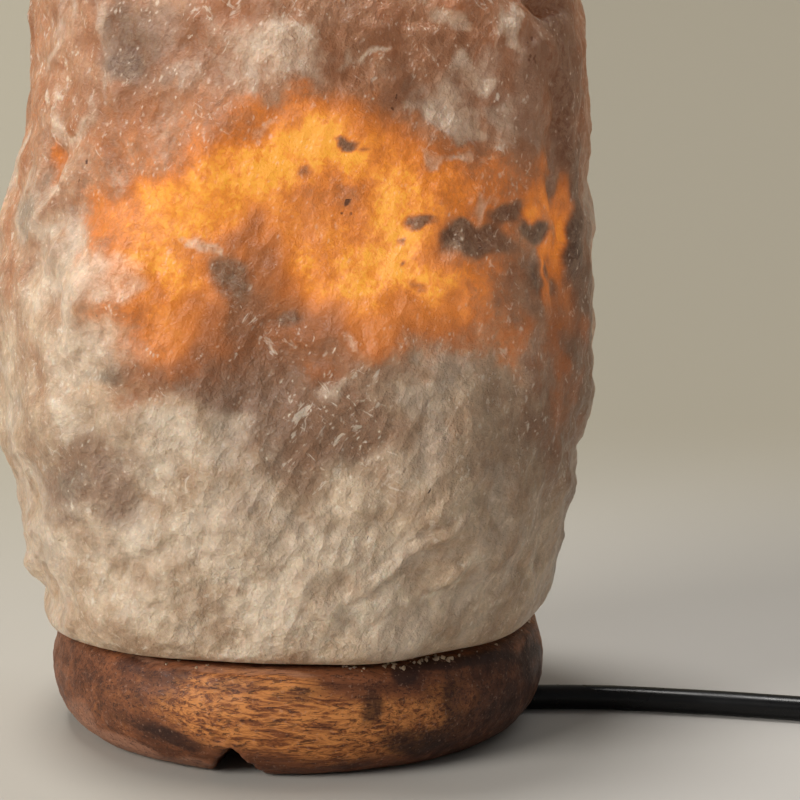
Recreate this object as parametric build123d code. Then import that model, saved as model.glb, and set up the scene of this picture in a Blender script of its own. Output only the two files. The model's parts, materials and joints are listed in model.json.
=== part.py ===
from build123d import *
import math
import os

# A salt crystal lamp: a hewn block of rock salt on a turned wooden base, lit from inside by a candle
# bulb in a snap-in holder, with a mains cord, an in-line switch and a flat two-pin plug.
# All sizes are in millimetres. The origin is the centre of the base's underside, +Z is up, and the
# cord leaves on the +X side and lies on the same surface as the base.

# ---- Overall height, from the table to the top of the crystal
LAMP_HEIGHT = 216.1

# ---- Wooden base: a turned disc with a rounded rim
BASE_DIAMETER = 120.0
BASE_HEIGHT = 26.3
BELLY_HEIGHT = 15.6
FOOT_INSET = 11.0
SHOULDER_INSET = 1.3
TOP_ROUNDING = 4.5
RECESS_DIAMETER = 74.0
RECESS_DEPTH = 12.0
NOTCH_WIDTH = 13.0
NOTCH_HEIGHT = 8.5
NOTCH_BULGE = 0.6
CORD_NOTCH_AZIMUTH = 3.0
SPARE_NOTCH_AZIMUTH = 256.0

# ---- Glue bed between base and crystal
GLUE_THICKNESS = 0.8
GLUE_WIDTH = 15.0

# ---- Salt crystal
SALT_WIDTH = 143.0
SALT_DEPTH = 137.0
SALT_SQUARENESS = 2.3
# Lobes round the crystal: how many, how deep, where they start and how they twist on the way up.
LOBES = ((3, 0.030, 2.1, 4.0), (5, 0.020, 0.7, -6.0), (7, 0.010, 4.0, 9.0))
# Waves left by the hewing: how many round the crystal, how many up its height, how far they rise as a
# share of the full width, and where they start. They leave the widest points at both sides alone.
WAVES = (
    (4, 1.3, 0.0070, 0.4),
    (7, -2.1, 0.0060, 2.0),
    (9, 3.2, 0.0055, 4.4),
    (12, -4.1, 0.0045, 1.1),
)
# Single swells and hollows: the azimuth, the share of the height, and the half width, half height and
# rise as shares of the full width.
LUMPS = (
    (232.0, 0.467, 0.100, 0.100, 0.012),
    (241.0, 0.760, 0.090, 0.090, -0.010),
    (272.0, 0.457, 0.140, 0.110, 0.007),
    (325.0, 0.800, 0.085, 0.070, -0.022),
    (327.0, 0.600, 0.080, 0.240, -0.009),
    (219.0, 0.146, 0.090, 0.110, -0.012),
    (300.0, 0.180, 0.180, 0.080, 0.008),
    (312.0, 0.085, 0.150, 0.070, -0.007),
)
SECTION_POINTS = 40
# Share of the height, and the width and the shift to the side there as shares of the full width.
SECTIONS = (
    (0.000, 0.805, -0.011),
    (0.025, 0.868, -0.010),
    (0.075, 0.902, -0.008),
    (0.130, 0.932, -0.007),
    (0.190, 0.966, -0.005),
    (0.260, 0.992, -0.001),
    (0.330, 1.002, 0.002),
    (0.400, 1.000, 0.004),
    (0.470, 0.992, 0.006),
    (0.540, 0.978, 0.009),
    (0.600, 0.963, 0.012),
    (0.660, 0.950, 0.014),
    (0.715, 0.941, 0.015),
    (0.770, 0.925, 0.011),
    (0.815, 0.896, 0.004),
    (0.860, 0.840, -0.007),
    (0.930, 0.680, -0.031),
    (0.980, 0.450, -0.056),
    (1.000, 0.270, -0.063),
)

# ---- Bore for the light, through the base and up into the crystal
BORE_DIAMETER = 48.0
BORE_TO_TOP = 60.0
BORE_TIP = 12.0
BORE_TIP_DIAMETER = 22.0
BASE_HOLE_CLEARANCE = 1.0

# ---- Lamp holder
CAP_LIFT = 1.0
CAP_DIAMETER = 29.0
CAP_HEIGHT = 14.0
CAP_WALL = 1.8
CAP_ROUNDING = 2.5
OUTLET_HEIGHT = 5.5
OUTLET_DIAMETER = 9.0
OUTLET_REACH = 18.0
HOLDER_DIAMETER = 27.0
HOLDER_HEIGHT = 42.0
HOLDER_FLOOR = 8.0
HOLDER_BORE_DIAMETER = 18.0
SHOULDER_ABOVE_SALT = 7.9
SHOULDER_THICKNESS = 2.0
SHOULDER_DIAMETER = 29.0
SHELL_INNER_DIAMETER = 14.6
SHELL_WALL = 0.5
SHELL_HEIGHT = 25.0
SHELL_FLANGE = 1.5
CONTACT_GAP = 0.3
CONTACT_SIZE = (4.0, 0.5)
# The contact leaf's side view: along the floor, up, over to the middle, and down again.
CONTACT_FOOT = (-4.2, 3.2)
CONTACT_BEND = (3.8, 5.0)
CONTACT_TIP = (-3.0, 2.0)

# ---- Screws, by shank and head diameter and head height
CAP_SCREW = (2.6, 4.6, 1.6)
CAP_SCREW_LENGTH = 20.0
CAP_SCREW_PITCH = 18.0
CLAMP_SCREW = (2.0, 3.6, 1.2)
CLAMP_SCREW_PITCH = 10.4
CLAMP_SIZE = (4.4, 14.6, 3.0)
CLAMP_REACH = 9.4
TERMINAL_SIZE = (5.0, 5.0, 6.0)
TERMINAL_PLACE = (-6.0, 5.0)
TERMINAL_SCREW = (2.0, 3.6, 1.0)
TERMINAL_ROOF = 1.0

# ---- Spring clip on the holder
CLIP_THICKNESS = 0.6
CLIP_HEIGHT = 8.0
CLIP_LEGS = 3
LEG_WIDTH = 8.0
LEG_CLEARANCE = 0.35
LEG_RISE = 15.0
LEG_RETURN = 9.0
LEG_TUCK = 2.6
LEG_ROOT = 6.0
# Slopes of the leg where it leaves the collar and at its free end, as outwards per upwards.
LEG_SLOPES = (0.35, -0.6)

# ---- Candle bulb with a small screw cap
BULB_DIAMETER = 35.0
BULB_LENGTH = 98.0
BULB_BELLY_HEIGHT = 46.0
CAP_SHELL_DIAMETER = 13.9
CAP_SHELL_HEIGHT = 17.0
CAP_SHELL_WALL = 0.4
GLASS_WALL = 0.8
INSULATOR_HEIGHT = 3.0
NECK_DEPTH = 10.0
# Glass above its widest point: its width and height there, as shares of what is left to the tip.
FLAME_POINT = (0.62, 0.58)
FLAME_SLOPES = ((0.25, 1.0), (-0.8, 0.6))
INSULATOR_COLLAR = 1.0
TIP_HEIGHT = 1.5
TIP_DIAMETER = 6.0
BULB_SEAT = 35.4
FILAMENT_HEIGHT = 60.0
FILAMENT_SPAN = 16.0
FILAMENT_DIAMETER = 0.9
LEAD_DIAMETER = 0.8
STEM_HEIGHT = 46.0
STEM_DIAMETER = 4.4
FLARE_RIM = 0.6
FLARE_HEIGHT = 8.0
LEAD_ROOT = 1.0
FILAMENT_ARCH = 3.0

# ---- Cord
CORD_DIAMETER = 6.0
CORE_DIAMETER = 2.0
CORE_SPACING = 2.6
CORE_STRAIGHT = 4.5
CORE_DIP = 0.6
ARC_SHARE = 0.45
FLOOR = CORD_DIAMETER / 2
SHEATH_START = 8.0
# Route from the lamp to the switch: distance and height on the way out, then places on the table
# with the height above the cord's own resting height, then the straight run into the switch.
OUTLET_RUN = ((22.0, 2.5), (36.5, 0.5))
TABLE_RUN = ((50.0, 2.9, 0.1), (63.0, 3.5, 0.05), (76.5, 3.1, 0.0), (90.0, 0.6, 0.0))
SWITCH_APPROACH = ((105.0, -2.4, 0.0), (119.0, -5.7, 0.0))
SWITCH_STRAIGHT = 8.5

# ---- In-line switch
SWITCH_LENGTH = 62.0
SWITCH_WIDTH = 26.0
SWITCH_END_WIDTH = 14.0
SWITCH_SPLIT = 6.5
SWITCH_HEIGHT = 16.0
SWITCH_WALL = 1.8
SWITCH_ROUNDING = 2.0
SWITCH_PLACE = (169.6, -18.1)
SWITCH_HEADING = -14.0
SHEATH_IN_SWITCH = 5.0
ENTRY_CLEARANCE = 0.1
ROCKER_LENGTH = 17.4
ROCKER_WIDTH = 9.4
ROCKER_RISE = 5.6
ROCKER_DIP = 3.9
ROCKER_EDGE = 2.4
ROCKER_FOOT = (5.0, -3.0)
ROCKER_TILT = 7.0
ROCKER_GAP = 0.5
PIVOT_HEIGHT = 12.0
PIVOT_DIAMETER = 2.4
PIVOT_CLEARANCE = 0.05
LUG_WIDTH = 2.2
SWITCH_SCREW = (2.4, 4.4, 1.4)
SWITCH_SCREW_LENGTH = 11.0
SWITCH_SCREW_PLACE = (19.0, 6.0)
PILLAR_DIAMETER = 5.0
BLADE_PLACE = 8.0
BLADE_HEIGHT = 5.2
BLADE_THICKNESS = 3.0
BLADE_WIDTH = 4.6
BRIDGE_THICKNESS = 0.8
NEUTRAL_BEND = (7.0, 13.0)
NEUTRAL_ASIDE = 4.4

# ---- Coil of spare cord: one layer winds in, the next winds out
COIL_CENTRE = (199.2, 45.0)
COIL_RADIUS = 48.0
COIL_PITCH = 8.0
COIL_RISE = 6.6
HALF_TURNS_PER_LAYER = 6
# Route from the switch to the coil, from where the coil's first turn starts.
COIL_RUN = (
    (-23.4, -71.4, 0.5),
    (-9.2, -63.3, 0.0),
    (-1.1, -48.8, 0.0),
    (0.7, -32.5, 0.0),
    (0.0, -18.5, 0.0),
)
# Route from the end of the coil's last turn up onto the coil, where the plug lies.
PLUG_RUN = (
    (0.0, -16.5, 0.0),
    (8.0, -31.5, 0.8),
    (22.1, -41.0, 3.0),
    (39.0, -42.8, 6.0),
    (53.8, -36.8, 8.8),
)
PLUG_STRAIGHT = 14.6

# ---- Flat two-pin plug
PLUG_WIDTH = 35.3
PLUG_THICKNESS = 13.7
PLUG_LENGTH = 35.0
PLUG_NECK_WIDTH = 12.0
PLUG_NECK_LENGTH = 4.0
PLUG_FLARE_LENGTH = 12.0
PLUG_ROUNDING = 2.5
RELIEF_LENGTH = 22.0
RELIEF_DIAMETERS = (7.6, 10.0)
RELIEF_RINGS = 6
RING_GROOVE = 1.0
PIN_LENGTH = 19.0
PIN_SPACING = 18.6
PIN_DIAMETER = 4.0
PIN_CORE_DIAMETER = 3.0
PIN_ROOT = 7.0
SLEEVE_DIAMETER = 3.8
SLEEVE_LENGTH = 10.0
PLUG_OFFSET = (64.3, -10.3)
PLUG_NECK_FLARE = 1.0
PLUG_HEADING = 84.0

# ---- Heights and radii that follow from the sizes above
SALT_BOTTOM = BASE_HEIGHT + GLUE_THICKNESS
SALT_HEIGHT = LAMP_HEIGHT - SALT_BOTTOM
BORE_TOP = LAMP_HEIGHT - BORE_TO_TOP
CAP_TOP = CAP_LIFT + CAP_HEIGHT
FLOOR_TOP = CAP_TOP + HOLDER_FLOOR
SHOULDER_TOP = SALT_BOTTOM + SHOULDER_ABOVE_SALT
CLAMP_BOTTOM = OUTLET_HEIGHT + CORD_DIAMETER / 2
COIL_TOP = COIL_RISE + CORD_DIAMETER
PLUG_AXIS_HEIGHT = COIL_TOP + PLUG_THICKNESS / 2


# ================================================================ helpers
def polar(radius, azimuth, height=0.0):
    """Point at a distance and azimuth from the vertical axis."""
    angle = math.radians(azimuth)
    return (radius * math.cos(angle), radius * math.sin(angle), height)


def ring(outer, inner, low, high):
    """Upright tube between two heights, by its diameters; an inner diameter of 0 gives a disc."""
    body = Cylinder(outer / 2, high - low, align=(Align.CENTER, Align.CENTER, Align.MIN))
    if inner:
        body -= Cylinder(inner / 2, high - low, align=(Align.CENTER, Align.CENTER, Align.MIN))
    return Pos(0, 0, low) * body


def turned(*edges):
    """Solid of revolution about the vertical axis, from a closed outline of (radius, 0, height)."""
    return revolve(make_face(Wire(edges)), Axis.Z)


def lathe(points):
    """Solid of revolution from straight-sided (radius, height) points."""
    return revolve(make_face(Polyline(*[(r, 0, z) for r, z in points], close=True)), Axis.Z)


def box(size, low_corner):
    """Block with its lowest corner at a point."""
    return Pos(*low_corner) * Box(*size, align=(Align.MIN, Align.MIN, Align.MIN))


def rod(diameter, start, end):
    """Round bar from one point to another."""
    axis = Vector(*end) - Vector(*start)
    plane = Plane(origin=start, z_dir=axis)
    return extrude(plane * Circle(diameter / 2), axis.length)


def screw(sizes, length):
    """Screw with its head's top face at the origin and its shank pointing down."""
    shank, head, head_height = sizes
    return ring(head, 0, -head_height, 0) + ring(shank, 0, -length, -head_height)


def group(solids):
    """Several separate solids in one piece of the list."""
    return Part() + list(solids)


def rounded_path(points):
    """Straight runs joined by tangent arcs, each as large as its two runs allow, and the radii."""
    corners = [Vector(*p) for p in points]
    radii = []
    for before, corner, after in zip(corners, corners[1:], corners[2:]):
        run_in = corner - before
        run_out = after - corner
        half_turn = math.radians(run_in.get_angle(run_out) / 2)
        radii.append(ARC_SHARE * min(run_in.length, run_out.length) / math.tan(half_turn))
    return FilletPolyline(*points, radius=radii), radii


def tube(diameter, path):
    """Round tube along a path, with its volume checked against section times length."""
    solid = sweep(Plane(origin=path @ 0, z_dir=path % 0) * Circle(diameter / 2), path)
    expected = math.pi * diameter**2 / 4 * path.length
    assert abs(solid.volume / expected - 1) < 0.01, "tube volume differs from section times length"
    return solid


def cord_stretch(name, points):
    """Free stretch of the cord; prints its length and the radii of its bends."""
    path, radii = rounded_path(points)
    print(name, "length", round(path.length, 1), "radii", [round(r) for r in radii])
    return tube(CORD_DIAMETER, path)


# ================================================================ base and crystal
def notch(azimuth):
    """Pointed arch, cut outwards from the bore through the rim of the underside."""
    half = NOTCH_WIDTH / 2
    side = math.hypot(half, NOTCH_HEIGHT)
    swell = (NOTCH_BULGE * NOTCH_HEIGHT / side, NOTCH_BULGE * half / side)
    middle = (half / 2 + swell[0], NOTCH_HEIGHT / 2 + swell[1])
    arch = Wire(
        [
            Line((-half, 0), (half, 0)),
            ThreePointArc((half, 0), middle, (0, NOTCH_HEIGHT)),
            ThreePointArc((0, NOTCH_HEIGHT), (-middle[0], middle[1]), (-half, 0)),
        ]
    )
    start = polar(BORE_DIAMETER / 2, azimuth)
    outwards = Plane(origin=start, x_dir=polar(1, azimuth + 90), z_dir=polar(1, azimuth))
    return extrude(outwards * make_face(arch), BASE_DIAMETER)


def wooden_base():
    radius = BASE_DIAMETER / 2
    foot = radius - FOOT_INSET
    shoulder = radius - SHOULDER_INSET
    shoulder_height = BASE_HEIGHT - TOP_ROUNDING
    lower_rim = EllipticalCenterArc(
        (foot, BELLY_HEIGHT), FOOT_INSET, BELLY_HEIGHT, start_angle=270, arc_size=90
    )
    upper_rim = TangentArc((radius, BELLY_HEIGHT), (shoulder, shoulder_height), tangent=(0, 1))
    top_rim = CenterArc((shoulder - TOP_ROUNDING, shoulder_height), TOP_ROUNDING, 0, 90)
    outline = Wire(
        [
            Line((0, 0), (foot, 0)),
            lower_rim,
            upper_rim,
            top_rim,
            Line((shoulder - TOP_ROUNDING, BASE_HEIGHT), (0, BASE_HEIGHT)),
            Line((0, BASE_HEIGHT), (0, 0)),
        ]
    )
    disc = revolve(Plane.XZ * make_face(outline), Axis.Z)
    disc -= ring(BORE_DIAMETER + 2 * BASE_HOLE_CLEARANCE, 0, 0, BASE_HEIGHT)
    disc -= ring(RECESS_DIAMETER, 0, 0, RECESS_DEPTH)
    disc -= notch(CORD_NOTCH_AZIMUTH)
    disc -= notch(SPARE_NOTCH_AZIMUTH)
    return disc


def glue_bed():
    inner = BORE_DIAMETER + 4 * BASE_HOLE_CLEARANCE
    return ring(inner + 2 * GLUE_WIDTH, inner, BASE_HEIGHT, SALT_BOTTOM)


def salt_radius(azimuth, share):
    """Distance from the section's centre to its rim, for a section as wide as the whole crystal."""
    across = abs(math.cos(azimuth)) / (SALT_WIDTH / 2)
    along = abs(math.sin(azimuth)) / (SALT_DEPTH / 2)
    radius = (across**SALT_SQUARENESS + along**SALT_SQUARENESS) ** (-1 / SALT_SQUARENESS)
    for count, size, start, twist in LOBES:
        swell = math.cos(count * azimuth + start + twist * share)
        radius *= 1 + size * math.sin(azimuth) ** 2 * swell
    return radius


def hewn(azimuth, share):
    """How far the hewn surface stands out from the plain lobed form."""
    side = math.sin(azimuth) ** 2
    rise = 0
    for count, climbs, size, start in WAVES:
        rise += side * size * math.cos(count * azimuth + 2 * math.pi * climbs * share + start)
    for centre, level, half_width, half_height, size in LUMPS:
        turn = (math.degrees(azimuth) - centre + 180) % 360 - 180
        across = math.radians(turn) / 2 / half_width
        up = (share - level) * SALT_HEIGHT / SALT_WIDTH / half_height
        rise += size * math.exp(-(across**2) - up**2)
    return SALT_WIDTH * rise


def salt_section(share, width, shift):
    """Closed, lumpy outline of the crystal at a share of its height."""
    height = SALT_BOTTOM + share * SALT_HEIGHT
    points = []
    for index in range(SECTION_POINTS):
        azimuth = 2 * math.pi * index / SECTION_POINTS
        reach = width * (salt_radius(azimuth, share) + hewn(azimuth, share))
        x = SALT_WIDTH * shift + reach * math.cos(azimuth)
        points.append((x, reach * math.sin(azimuth), height))
    return make_face(Spline(*points, periodic=True))


def salt_crystal():
    """Lofted block, centred on the base, with the bore drilled up from below."""
    block = loft([salt_section(*section) for section in SECTIONS])
    middle = block.bounding_box().center()
    bore = lathe(
        [
            (0, SALT_BOTTOM),
            (BORE_DIAMETER / 2, SALT_BOTTOM),
            (BORE_DIAMETER / 2, BORE_TOP - BORE_TIP),
            (BORE_TIP_DIAMETER / 2, BORE_TOP),
            (0, BORE_TOP),
        ]
    )
    return Pos(-middle.X, -middle.Y, 0) * block - bore


# ================================================================ lamp holder
def along_outlet(solid):
    """Turn a solid built along +X to the side where the cord leaves."""
    return Rot(0, 0, CORD_NOTCH_AZIMUTH) * solid


def cap_screw_spots():
    return [polar(CAP_SCREW_PITCH / 2, CORD_NOTCH_AZIMUTH + side, CAP_LIFT) for side in (90, 270)]


def holder_cap():
    """Rear cap with a side outlet for the cord, pillars for its screws and bosses for the clamp."""
    shell = ring(CAP_DIAMETER, 0, CAP_LIFT, CAP_TOP)
    shell = fillet(shell.edges().group_by(Axis.Z)[0], CAP_ROUNDING)
    shell -= ring(CAP_DIAMETER - 2 * CAP_WALL, 0, CAP_LIFT + CAP_WALL, CAP_TOP)
    mouth = (OUTLET_REACH, 0, OUTLET_HEIGHT)
    outlet = rod(OUTLET_DIAMETER, (CAP_DIAMETER / 2 - CAP_WALL, 0, OUTLET_HEIGHT), mouth)
    shell += along_outlet(outlet)
    shell -= ring(CAP_DIAMETER - 2 * CAP_WALL, 0, CAP_LIFT + CAP_WALL, CAP_TOP)
    for x, y, z in cap_screw_spots():
        shell += Pos(x, y, 0) * ring(CAP_SCREW[1] + CAP_WALL / 2, 0, z + CAP_WALL / 2, CAP_TOP)
    for side in (-1, 1):
        boss = ring(CLAMP_SCREW[1], 0, CAP_LIFT + CAP_WALL, CLAMP_BOTTOM)
        shell += along_outlet(Pos(CLAMP_REACH, side * CLAMP_SCREW_PITCH / 2, 0) * boss)
        hole = ring(CLAMP_SCREW[0], 0, CAP_LIFT + 2 * CAP_WALL, CLAMP_BOTTOM)
        shell -= along_outlet(Pos(CLAMP_REACH, side * CLAMP_SCREW_PITCH / 2, 0) * hole)
    passage = rod(CORD_DIAMETER + 2 * ENTRY_CLEARANCE, (SHEATH_START, 0, OUTLET_HEIGHT), mouth)
    shell -= along_outlet(passage)
    for x, y, z in cap_screw_spots():
        shell -= Pos(x, y, 0) * ring(CAP_SCREW[0], 0, z, CAP_TOP)
        shell -= Pos(x, y, 0) * ring(CAP_SCREW[1], 0, z, z + CAP_SCREW[2])
    return shell


def cap_screws():
    upright = Rot(180, 0, 0) * screw(CAP_SCREW, CAP_SCREW_LENGTH)
    return group(Pos(x, y, z) * upright for x, y, z in cap_screw_spots())


def cord_clamp():
    length, width, height = CLAMP_SIZE
    bar = box(CLAMP_SIZE, (CLAMP_REACH - length / 2, -width / 2, CLAMP_BOTTOM))
    bar &= ring(CAP_DIAMETER - 2 * CAP_WALL, 0, CLAMP_BOTTOM, CLAMP_BOTTOM + height)
    hole = ring(CLAMP_SCREW[0], 0, CLAMP_BOTTOM, CLAMP_BOTTOM + height)
    for side in (-1, 1):
        bar -= Pos(CLAMP_REACH, side * CLAMP_SCREW_PITCH / 2, 0) * hole
    return along_outlet(bar)


def clamp_screws():
    top = CLAMP_BOTTOM + CLAMP_SIZE[2] + CLAMP_SCREW[2]
    length = top - CAP_LIFT - 2 * CAP_WALL
    return along_outlet(
        group(
            Pos(CLAMP_REACH, side * CLAMP_SCREW_PITCH / 2, top) * screw(CLAMP_SCREW, length)
            for side in (-1, 1)
        )
    )


def holder_body():
    """Open-topped barrel with a thick floor and a shoulder under the spring clip."""
    top = CAP_TOP + HOLDER_HEIGHT
    body = ring(HOLDER_DIAMETER, 0, CAP_TOP, top)
    body = chamfer(body.edges().group_by(Axis.Z)[-1], 1.0)
    body += ring(SHOULDER_DIAMETER, 0, SHOULDER_TOP - SHOULDER_THICKNESS, SHOULDER_TOP)
    body -= ring(HOLDER_BORE_DIAMETER, 0, FLOOR_TOP, top)
    for x, y, z in cap_screw_spots():
        body -= Pos(x, y, 0) * ring(CAP_SCREW[0], 0, CAP_TOP, z + CAP_SCREW_LENGTH)
    return body


def thread_shell():
    """Thin metal shell that takes the bulb's cap, with a foot flange and a flared rim."""
    inner = SHELL_INNER_DIAMETER / 2
    foot = inner - SHELL_FLANGE
    outer = inner + SHELL_WALL
    wide = HOLDER_BORE_DIAMETER / 2
    top = FLOOR_TOP + SHELL_HEIGHT
    return lathe(
        [
            (foot, FLOOR_TOP),
            (outer, FLOOR_TOP),
            (outer, top - SHELL_WALL),
            (wide, top - SHELL_WALL),
            (wide, top),
            (inner, top),
            (inner, FLOOR_TOP + SHELL_WALL),
            (foot, FLOOR_TOP + SHELL_WALL),
        ]
    )


def centre_contact():
    """Sprung leaf that rises from the floor of the holder to just below the bulb's tip."""
    thickness = CONTACT_SIZE[1]
    top = BULB_SEAT - CONTACT_GAP - thickness / 2
    foot = FLOOR_TOP + thickness / 2
    path, _ = rounded_path(
        [
            (CONTACT_FOOT[0], 0, foot),
            (CONTACT_FOOT[1], 0, foot),
            (CONTACT_BEND[0], 0, top - CONTACT_BEND[1]),
            (0, 0, top),
            (CONTACT_TIP[0], 0, top - CONTACT_TIP[1]),
        ]
    )
    leaf = Plane(origin=path @ 0, x_dir=(0, 1, 0), z_dir=path % 0) * Rectangle(*CONTACT_SIZE)
    return sweep(leaf, path)


def terminal(side):
    """Brass block under the holder's floor, with a hole for its core and one for its screw."""
    length, width, height = TERMINAL_SIZE
    x, y = TERMINAL_PLACE[0], side * TERMINAL_PLACE[1]
    block = box(TERMINAL_SIZE, (x - length / 2, y - width / 2, CAP_TOP - height))
    block -= Pos(x, y, 0) * ring(CORE_DIAMETER, 0, CAP_TOP - height, CAP_TOP - TERMINAL_ROOF)
    middle = CAP_TOP - height / 2
    return block - rod(TERMINAL_SCREW[0], (x - length / 2, y, middle), (x - CORE_DIAMETER / 2, y, middle))


def terminal_screws():
    x = TERMINAL_PLACE[0] - TERMINAL_SIZE[0] / 2 - TERMINAL_SCREW[2]
    height = CAP_TOP - TERMINAL_SIZE[2] / 2
    length = TERMINAL_SIZE[0] / 2 - CORE_DIAMETER / 2 + TERMINAL_SCREW[2]
    turned_in = Rot(0, -90, 0) * screw(TERMINAL_SCREW, length)
    return group(Pos(x, side * TERMINAL_PLACE[1], height) * turned_in for side in (-1, 1))


def core(side):
    """Insulated core from the end of the cord's sheath up into its terminal."""
    aside = side * CORE_SPACING / 2
    start = along_outlet(Vertex(SHEATH_START, aside, OUTLET_HEIGHT)).center()
    ahead = along_outlet(Vertex(SHEATH_START - CORE_STRAIGHT, aside, OUTLET_HEIGHT)).center()
    x, y = TERMINAL_PLACE[0], side * TERMINAL_PLACE[1]
    end = CAP_TOP - TERMINAL_SIZE[2] / 2
    points = [start, ahead, (x, y, OUTLET_HEIGHT - CORE_DIP), (x, y, end)]
    path, _ = rounded_path([tuple(Vector(p)) for p in points])
    return tube(CORE_DIAMETER, path)


def spring_clip():
    """Sprung steel collar round the holder, with bowed legs that grip the crystal's bore."""
    collar_radius = HOLDER_DIAMETER / 2 + CLIP_THICKNESS / 2
    outer = HOLDER_DIAMETER + 2 * CLIP_THICKNESS
    clip = ring(outer, HOLDER_DIAMETER, SHOULDER_TOP, SHOULDER_TOP + CLIP_HEIGHT)
    corner_reach = BORE_DIAMETER / 2 - LEG_CLEARANCE
    bow = math.sqrt(corner_reach**2 - (LEG_WIDTH / 2) ** 2) - CLIP_THICKNESS / 2
    root = SHOULDER_TOP + LEG_ROOT
    crest = root + LEG_RISE
    path = Spline(
        (collar_radius, 0, root),
        (bow, 0, crest),
        (bow - LEG_TUCK, 0, crest + LEG_RETURN),
        tangents=[(slope, 0, 1) for slope in LEG_SLOPES],
    )
    strip = Plane(origin=path @ 0, x_dir=(0, 1, 0), z_dir=path % 0) * Rectangle(LEG_WIDTH, CLIP_THICKNESS)
    leg = sweep(strip, path)
    for index in range(CLIP_LEGS):
        clip += Rot(0, 0, CORD_NOTCH_AZIMUTH + 90 + 360 * index / CLIP_LEGS) * leg
    return clip - ring(HOLDER_DIAMETER, 0, CAP_TOP, CAP_TOP + HOLDER_HEIGHT)


# ================================================================ bulb
def bulb_outline(inset):
    """Candle-shaped outline of the glass, drawn in by a wall."""
    neck = CAP_SHELL_DIAMETER / 2 - CAP_SHELL_WALL - inset
    belly = BULB_DIAMETER / 2 - inset
    neck_low = BULB_SEAT + TIP_HEIGHT + INSULATOR_HEIGHT + NECK_DEPTH
    neck_high = BULB_SEAT + TIP_HEIGHT + CAP_SHELL_HEIGHT
    widest = BULB_SEAT + BULB_BELLY_HEIGHT
    tip = BULB_SEAT + BULB_LENGTH - inset
    side = Spline(
        (neck, 0, neck_high),
        (belly, 0, widest),
        (belly * FLAME_POINT[0], 0, widest + FLAME_POINT[1] * (tip - widest)),
        (0, 0, tip),
        tangents=[(x, 0, z) for x, z in FLAME_SLOPES],
    )
    return turned(
        Line((0, 0, neck_low), (neck, 0, neck_low)),
        Line((neck, 0, neck_low), (neck, 0, neck_high)),
        side,
        Line((0, 0, tip), (0, 0, neck_low)),
    )


def bulb_glass():
    return bulb_outline(0) - bulb_outline(GLASS_WALL)


def bulb_cap():
    low = BULB_SEAT + TIP_HEIGHT + INSULATOR_HEIGHT
    high = BULB_SEAT + TIP_HEIGHT + CAP_SHELL_HEIGHT
    return ring(CAP_SHELL_DIAMETER, CAP_SHELL_DIAMETER - 2 * CAP_SHELL_WALL, low, high)


def bulb_insulator():
    low = BULB_SEAT + TIP_HEIGHT
    wide = CAP_SHELL_DIAMETER / 2
    inside = wide - CAP_SHELL_WALL
    step = low + INSULATOR_HEIGHT
    top = step + INSULATOR_COLLAR
    return lathe([(0, low), (TIP_DIAMETER / 2, low), (wide, step), (inside, step), (inside, top), (0, top)])


def bulb_contact():
    button = ring(TIP_DIAMETER, 0, BULB_SEAT, BULB_SEAT + TIP_HEIGHT)
    return fillet(button.edges().group_by(Axis.Z)[0], 1.0)


def bulb_stem():
    """Glass flare and rod that carry the filament's leads."""
    low = BULB_SEAT + TIP_HEIGHT + INSULATOR_HEIGHT + NECK_DEPTH
    wide = CAP_SHELL_DIAMETER / 2 - CAP_SHELL_WALL - GLASS_WALL
    thin = STEM_DIAMETER / 2
    top = BULB_SEAT + STEM_HEIGHT
    rim = low + FLARE_RIM
    waist = low + FLARE_HEIGHT
    return lathe([(0, low), (wide, low), (wide, rim), (thin, waist), (thin, top), (0, top)])


def bulb_leads():
    """Two lead wires from the stem up to the filament's ends."""
    low = BULB_SEAT + STEM_HEIGHT
    high = BULB_SEAT + FILAMENT_HEIGHT
    reach = FILAMENT_SPAN / 2
    above_stem = ring(BULB_DIAMETER, 0, low, high + LEAD_DIAMETER)
    return group(
        rod(LEAD_DIAMETER, (side * LEAD_ROOT, 0, low - LEAD_DIAMETER), (side * reach, 0, high)) & above_stem
        for side in (-1, 1)
    )


def filament():
    """Filament, arched between the tops of its leads."""
    high = BULB_SEAT + FILAMENT_HEIGHT + FILAMENT_DIAMETER / 2 + LEAD_DIAMETER / 4
    reach = FILAMENT_SPAN / 2 + LEAD_DIAMETER / 2
    path = ThreePointArc((-reach, 0, high), (0, 0, high + FILAMENT_ARCH), (reach, 0, high))
    return tube(FILAMENT_DIAMETER, path)


# ================================================================ in-line switch
def at_switch(solid):
    """Place a solid built about the switch's own centre, with its cord along X."""
    return Location((*SWITCH_PLACE, 0), (0, 0, SWITCH_HEADING)) * solid


def switch_point(along, height=SWITCH_SPLIT):
    """Point on the switch's cord axis, by its distance from the switch's centre."""
    angle = math.radians(SWITCH_HEADING)
    return (SWITCH_PLACE[0] + along * math.cos(angle), SWITCH_PLACE[1] + along * math.sin(angle), height)


def switch_outline(inset):
    """Barrel-sided outline with square ends."""
    half = SWITCH_LENGTH / 2 - inset
    end = SWITCH_END_WIDTH / 2 - inset
    side = SWITCH_WIDTH / 2 - inset
    return make_face(
        Wire(
            [
                ThreePointArc((-half, -end), (0, -side), (half, -end)),
                Line((half, -end), (half, end)),
                ThreePointArc((half, end), (0, side), (-half, end)),
                Line((-half, end), (-half, -end)),
            ]
        )
    )


def switch_entries():
    """Passages for the cord at both ends."""
    outside = SWITCH_LENGTH / 2
    inside = outside - SHEATH_IN_SWITCH
    diameter = CORD_DIAMETER + 2 * ENTRY_CLEARANCE
    left = rod(diameter, (-outside, 0, SWITCH_SPLIT), (-inside, 0, SWITCH_SPLIT))
    right = rod(diameter, (inside, 0, SWITCH_SPLIT), (outside, 0, SWITCH_SPLIT))
    return left + right


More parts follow.
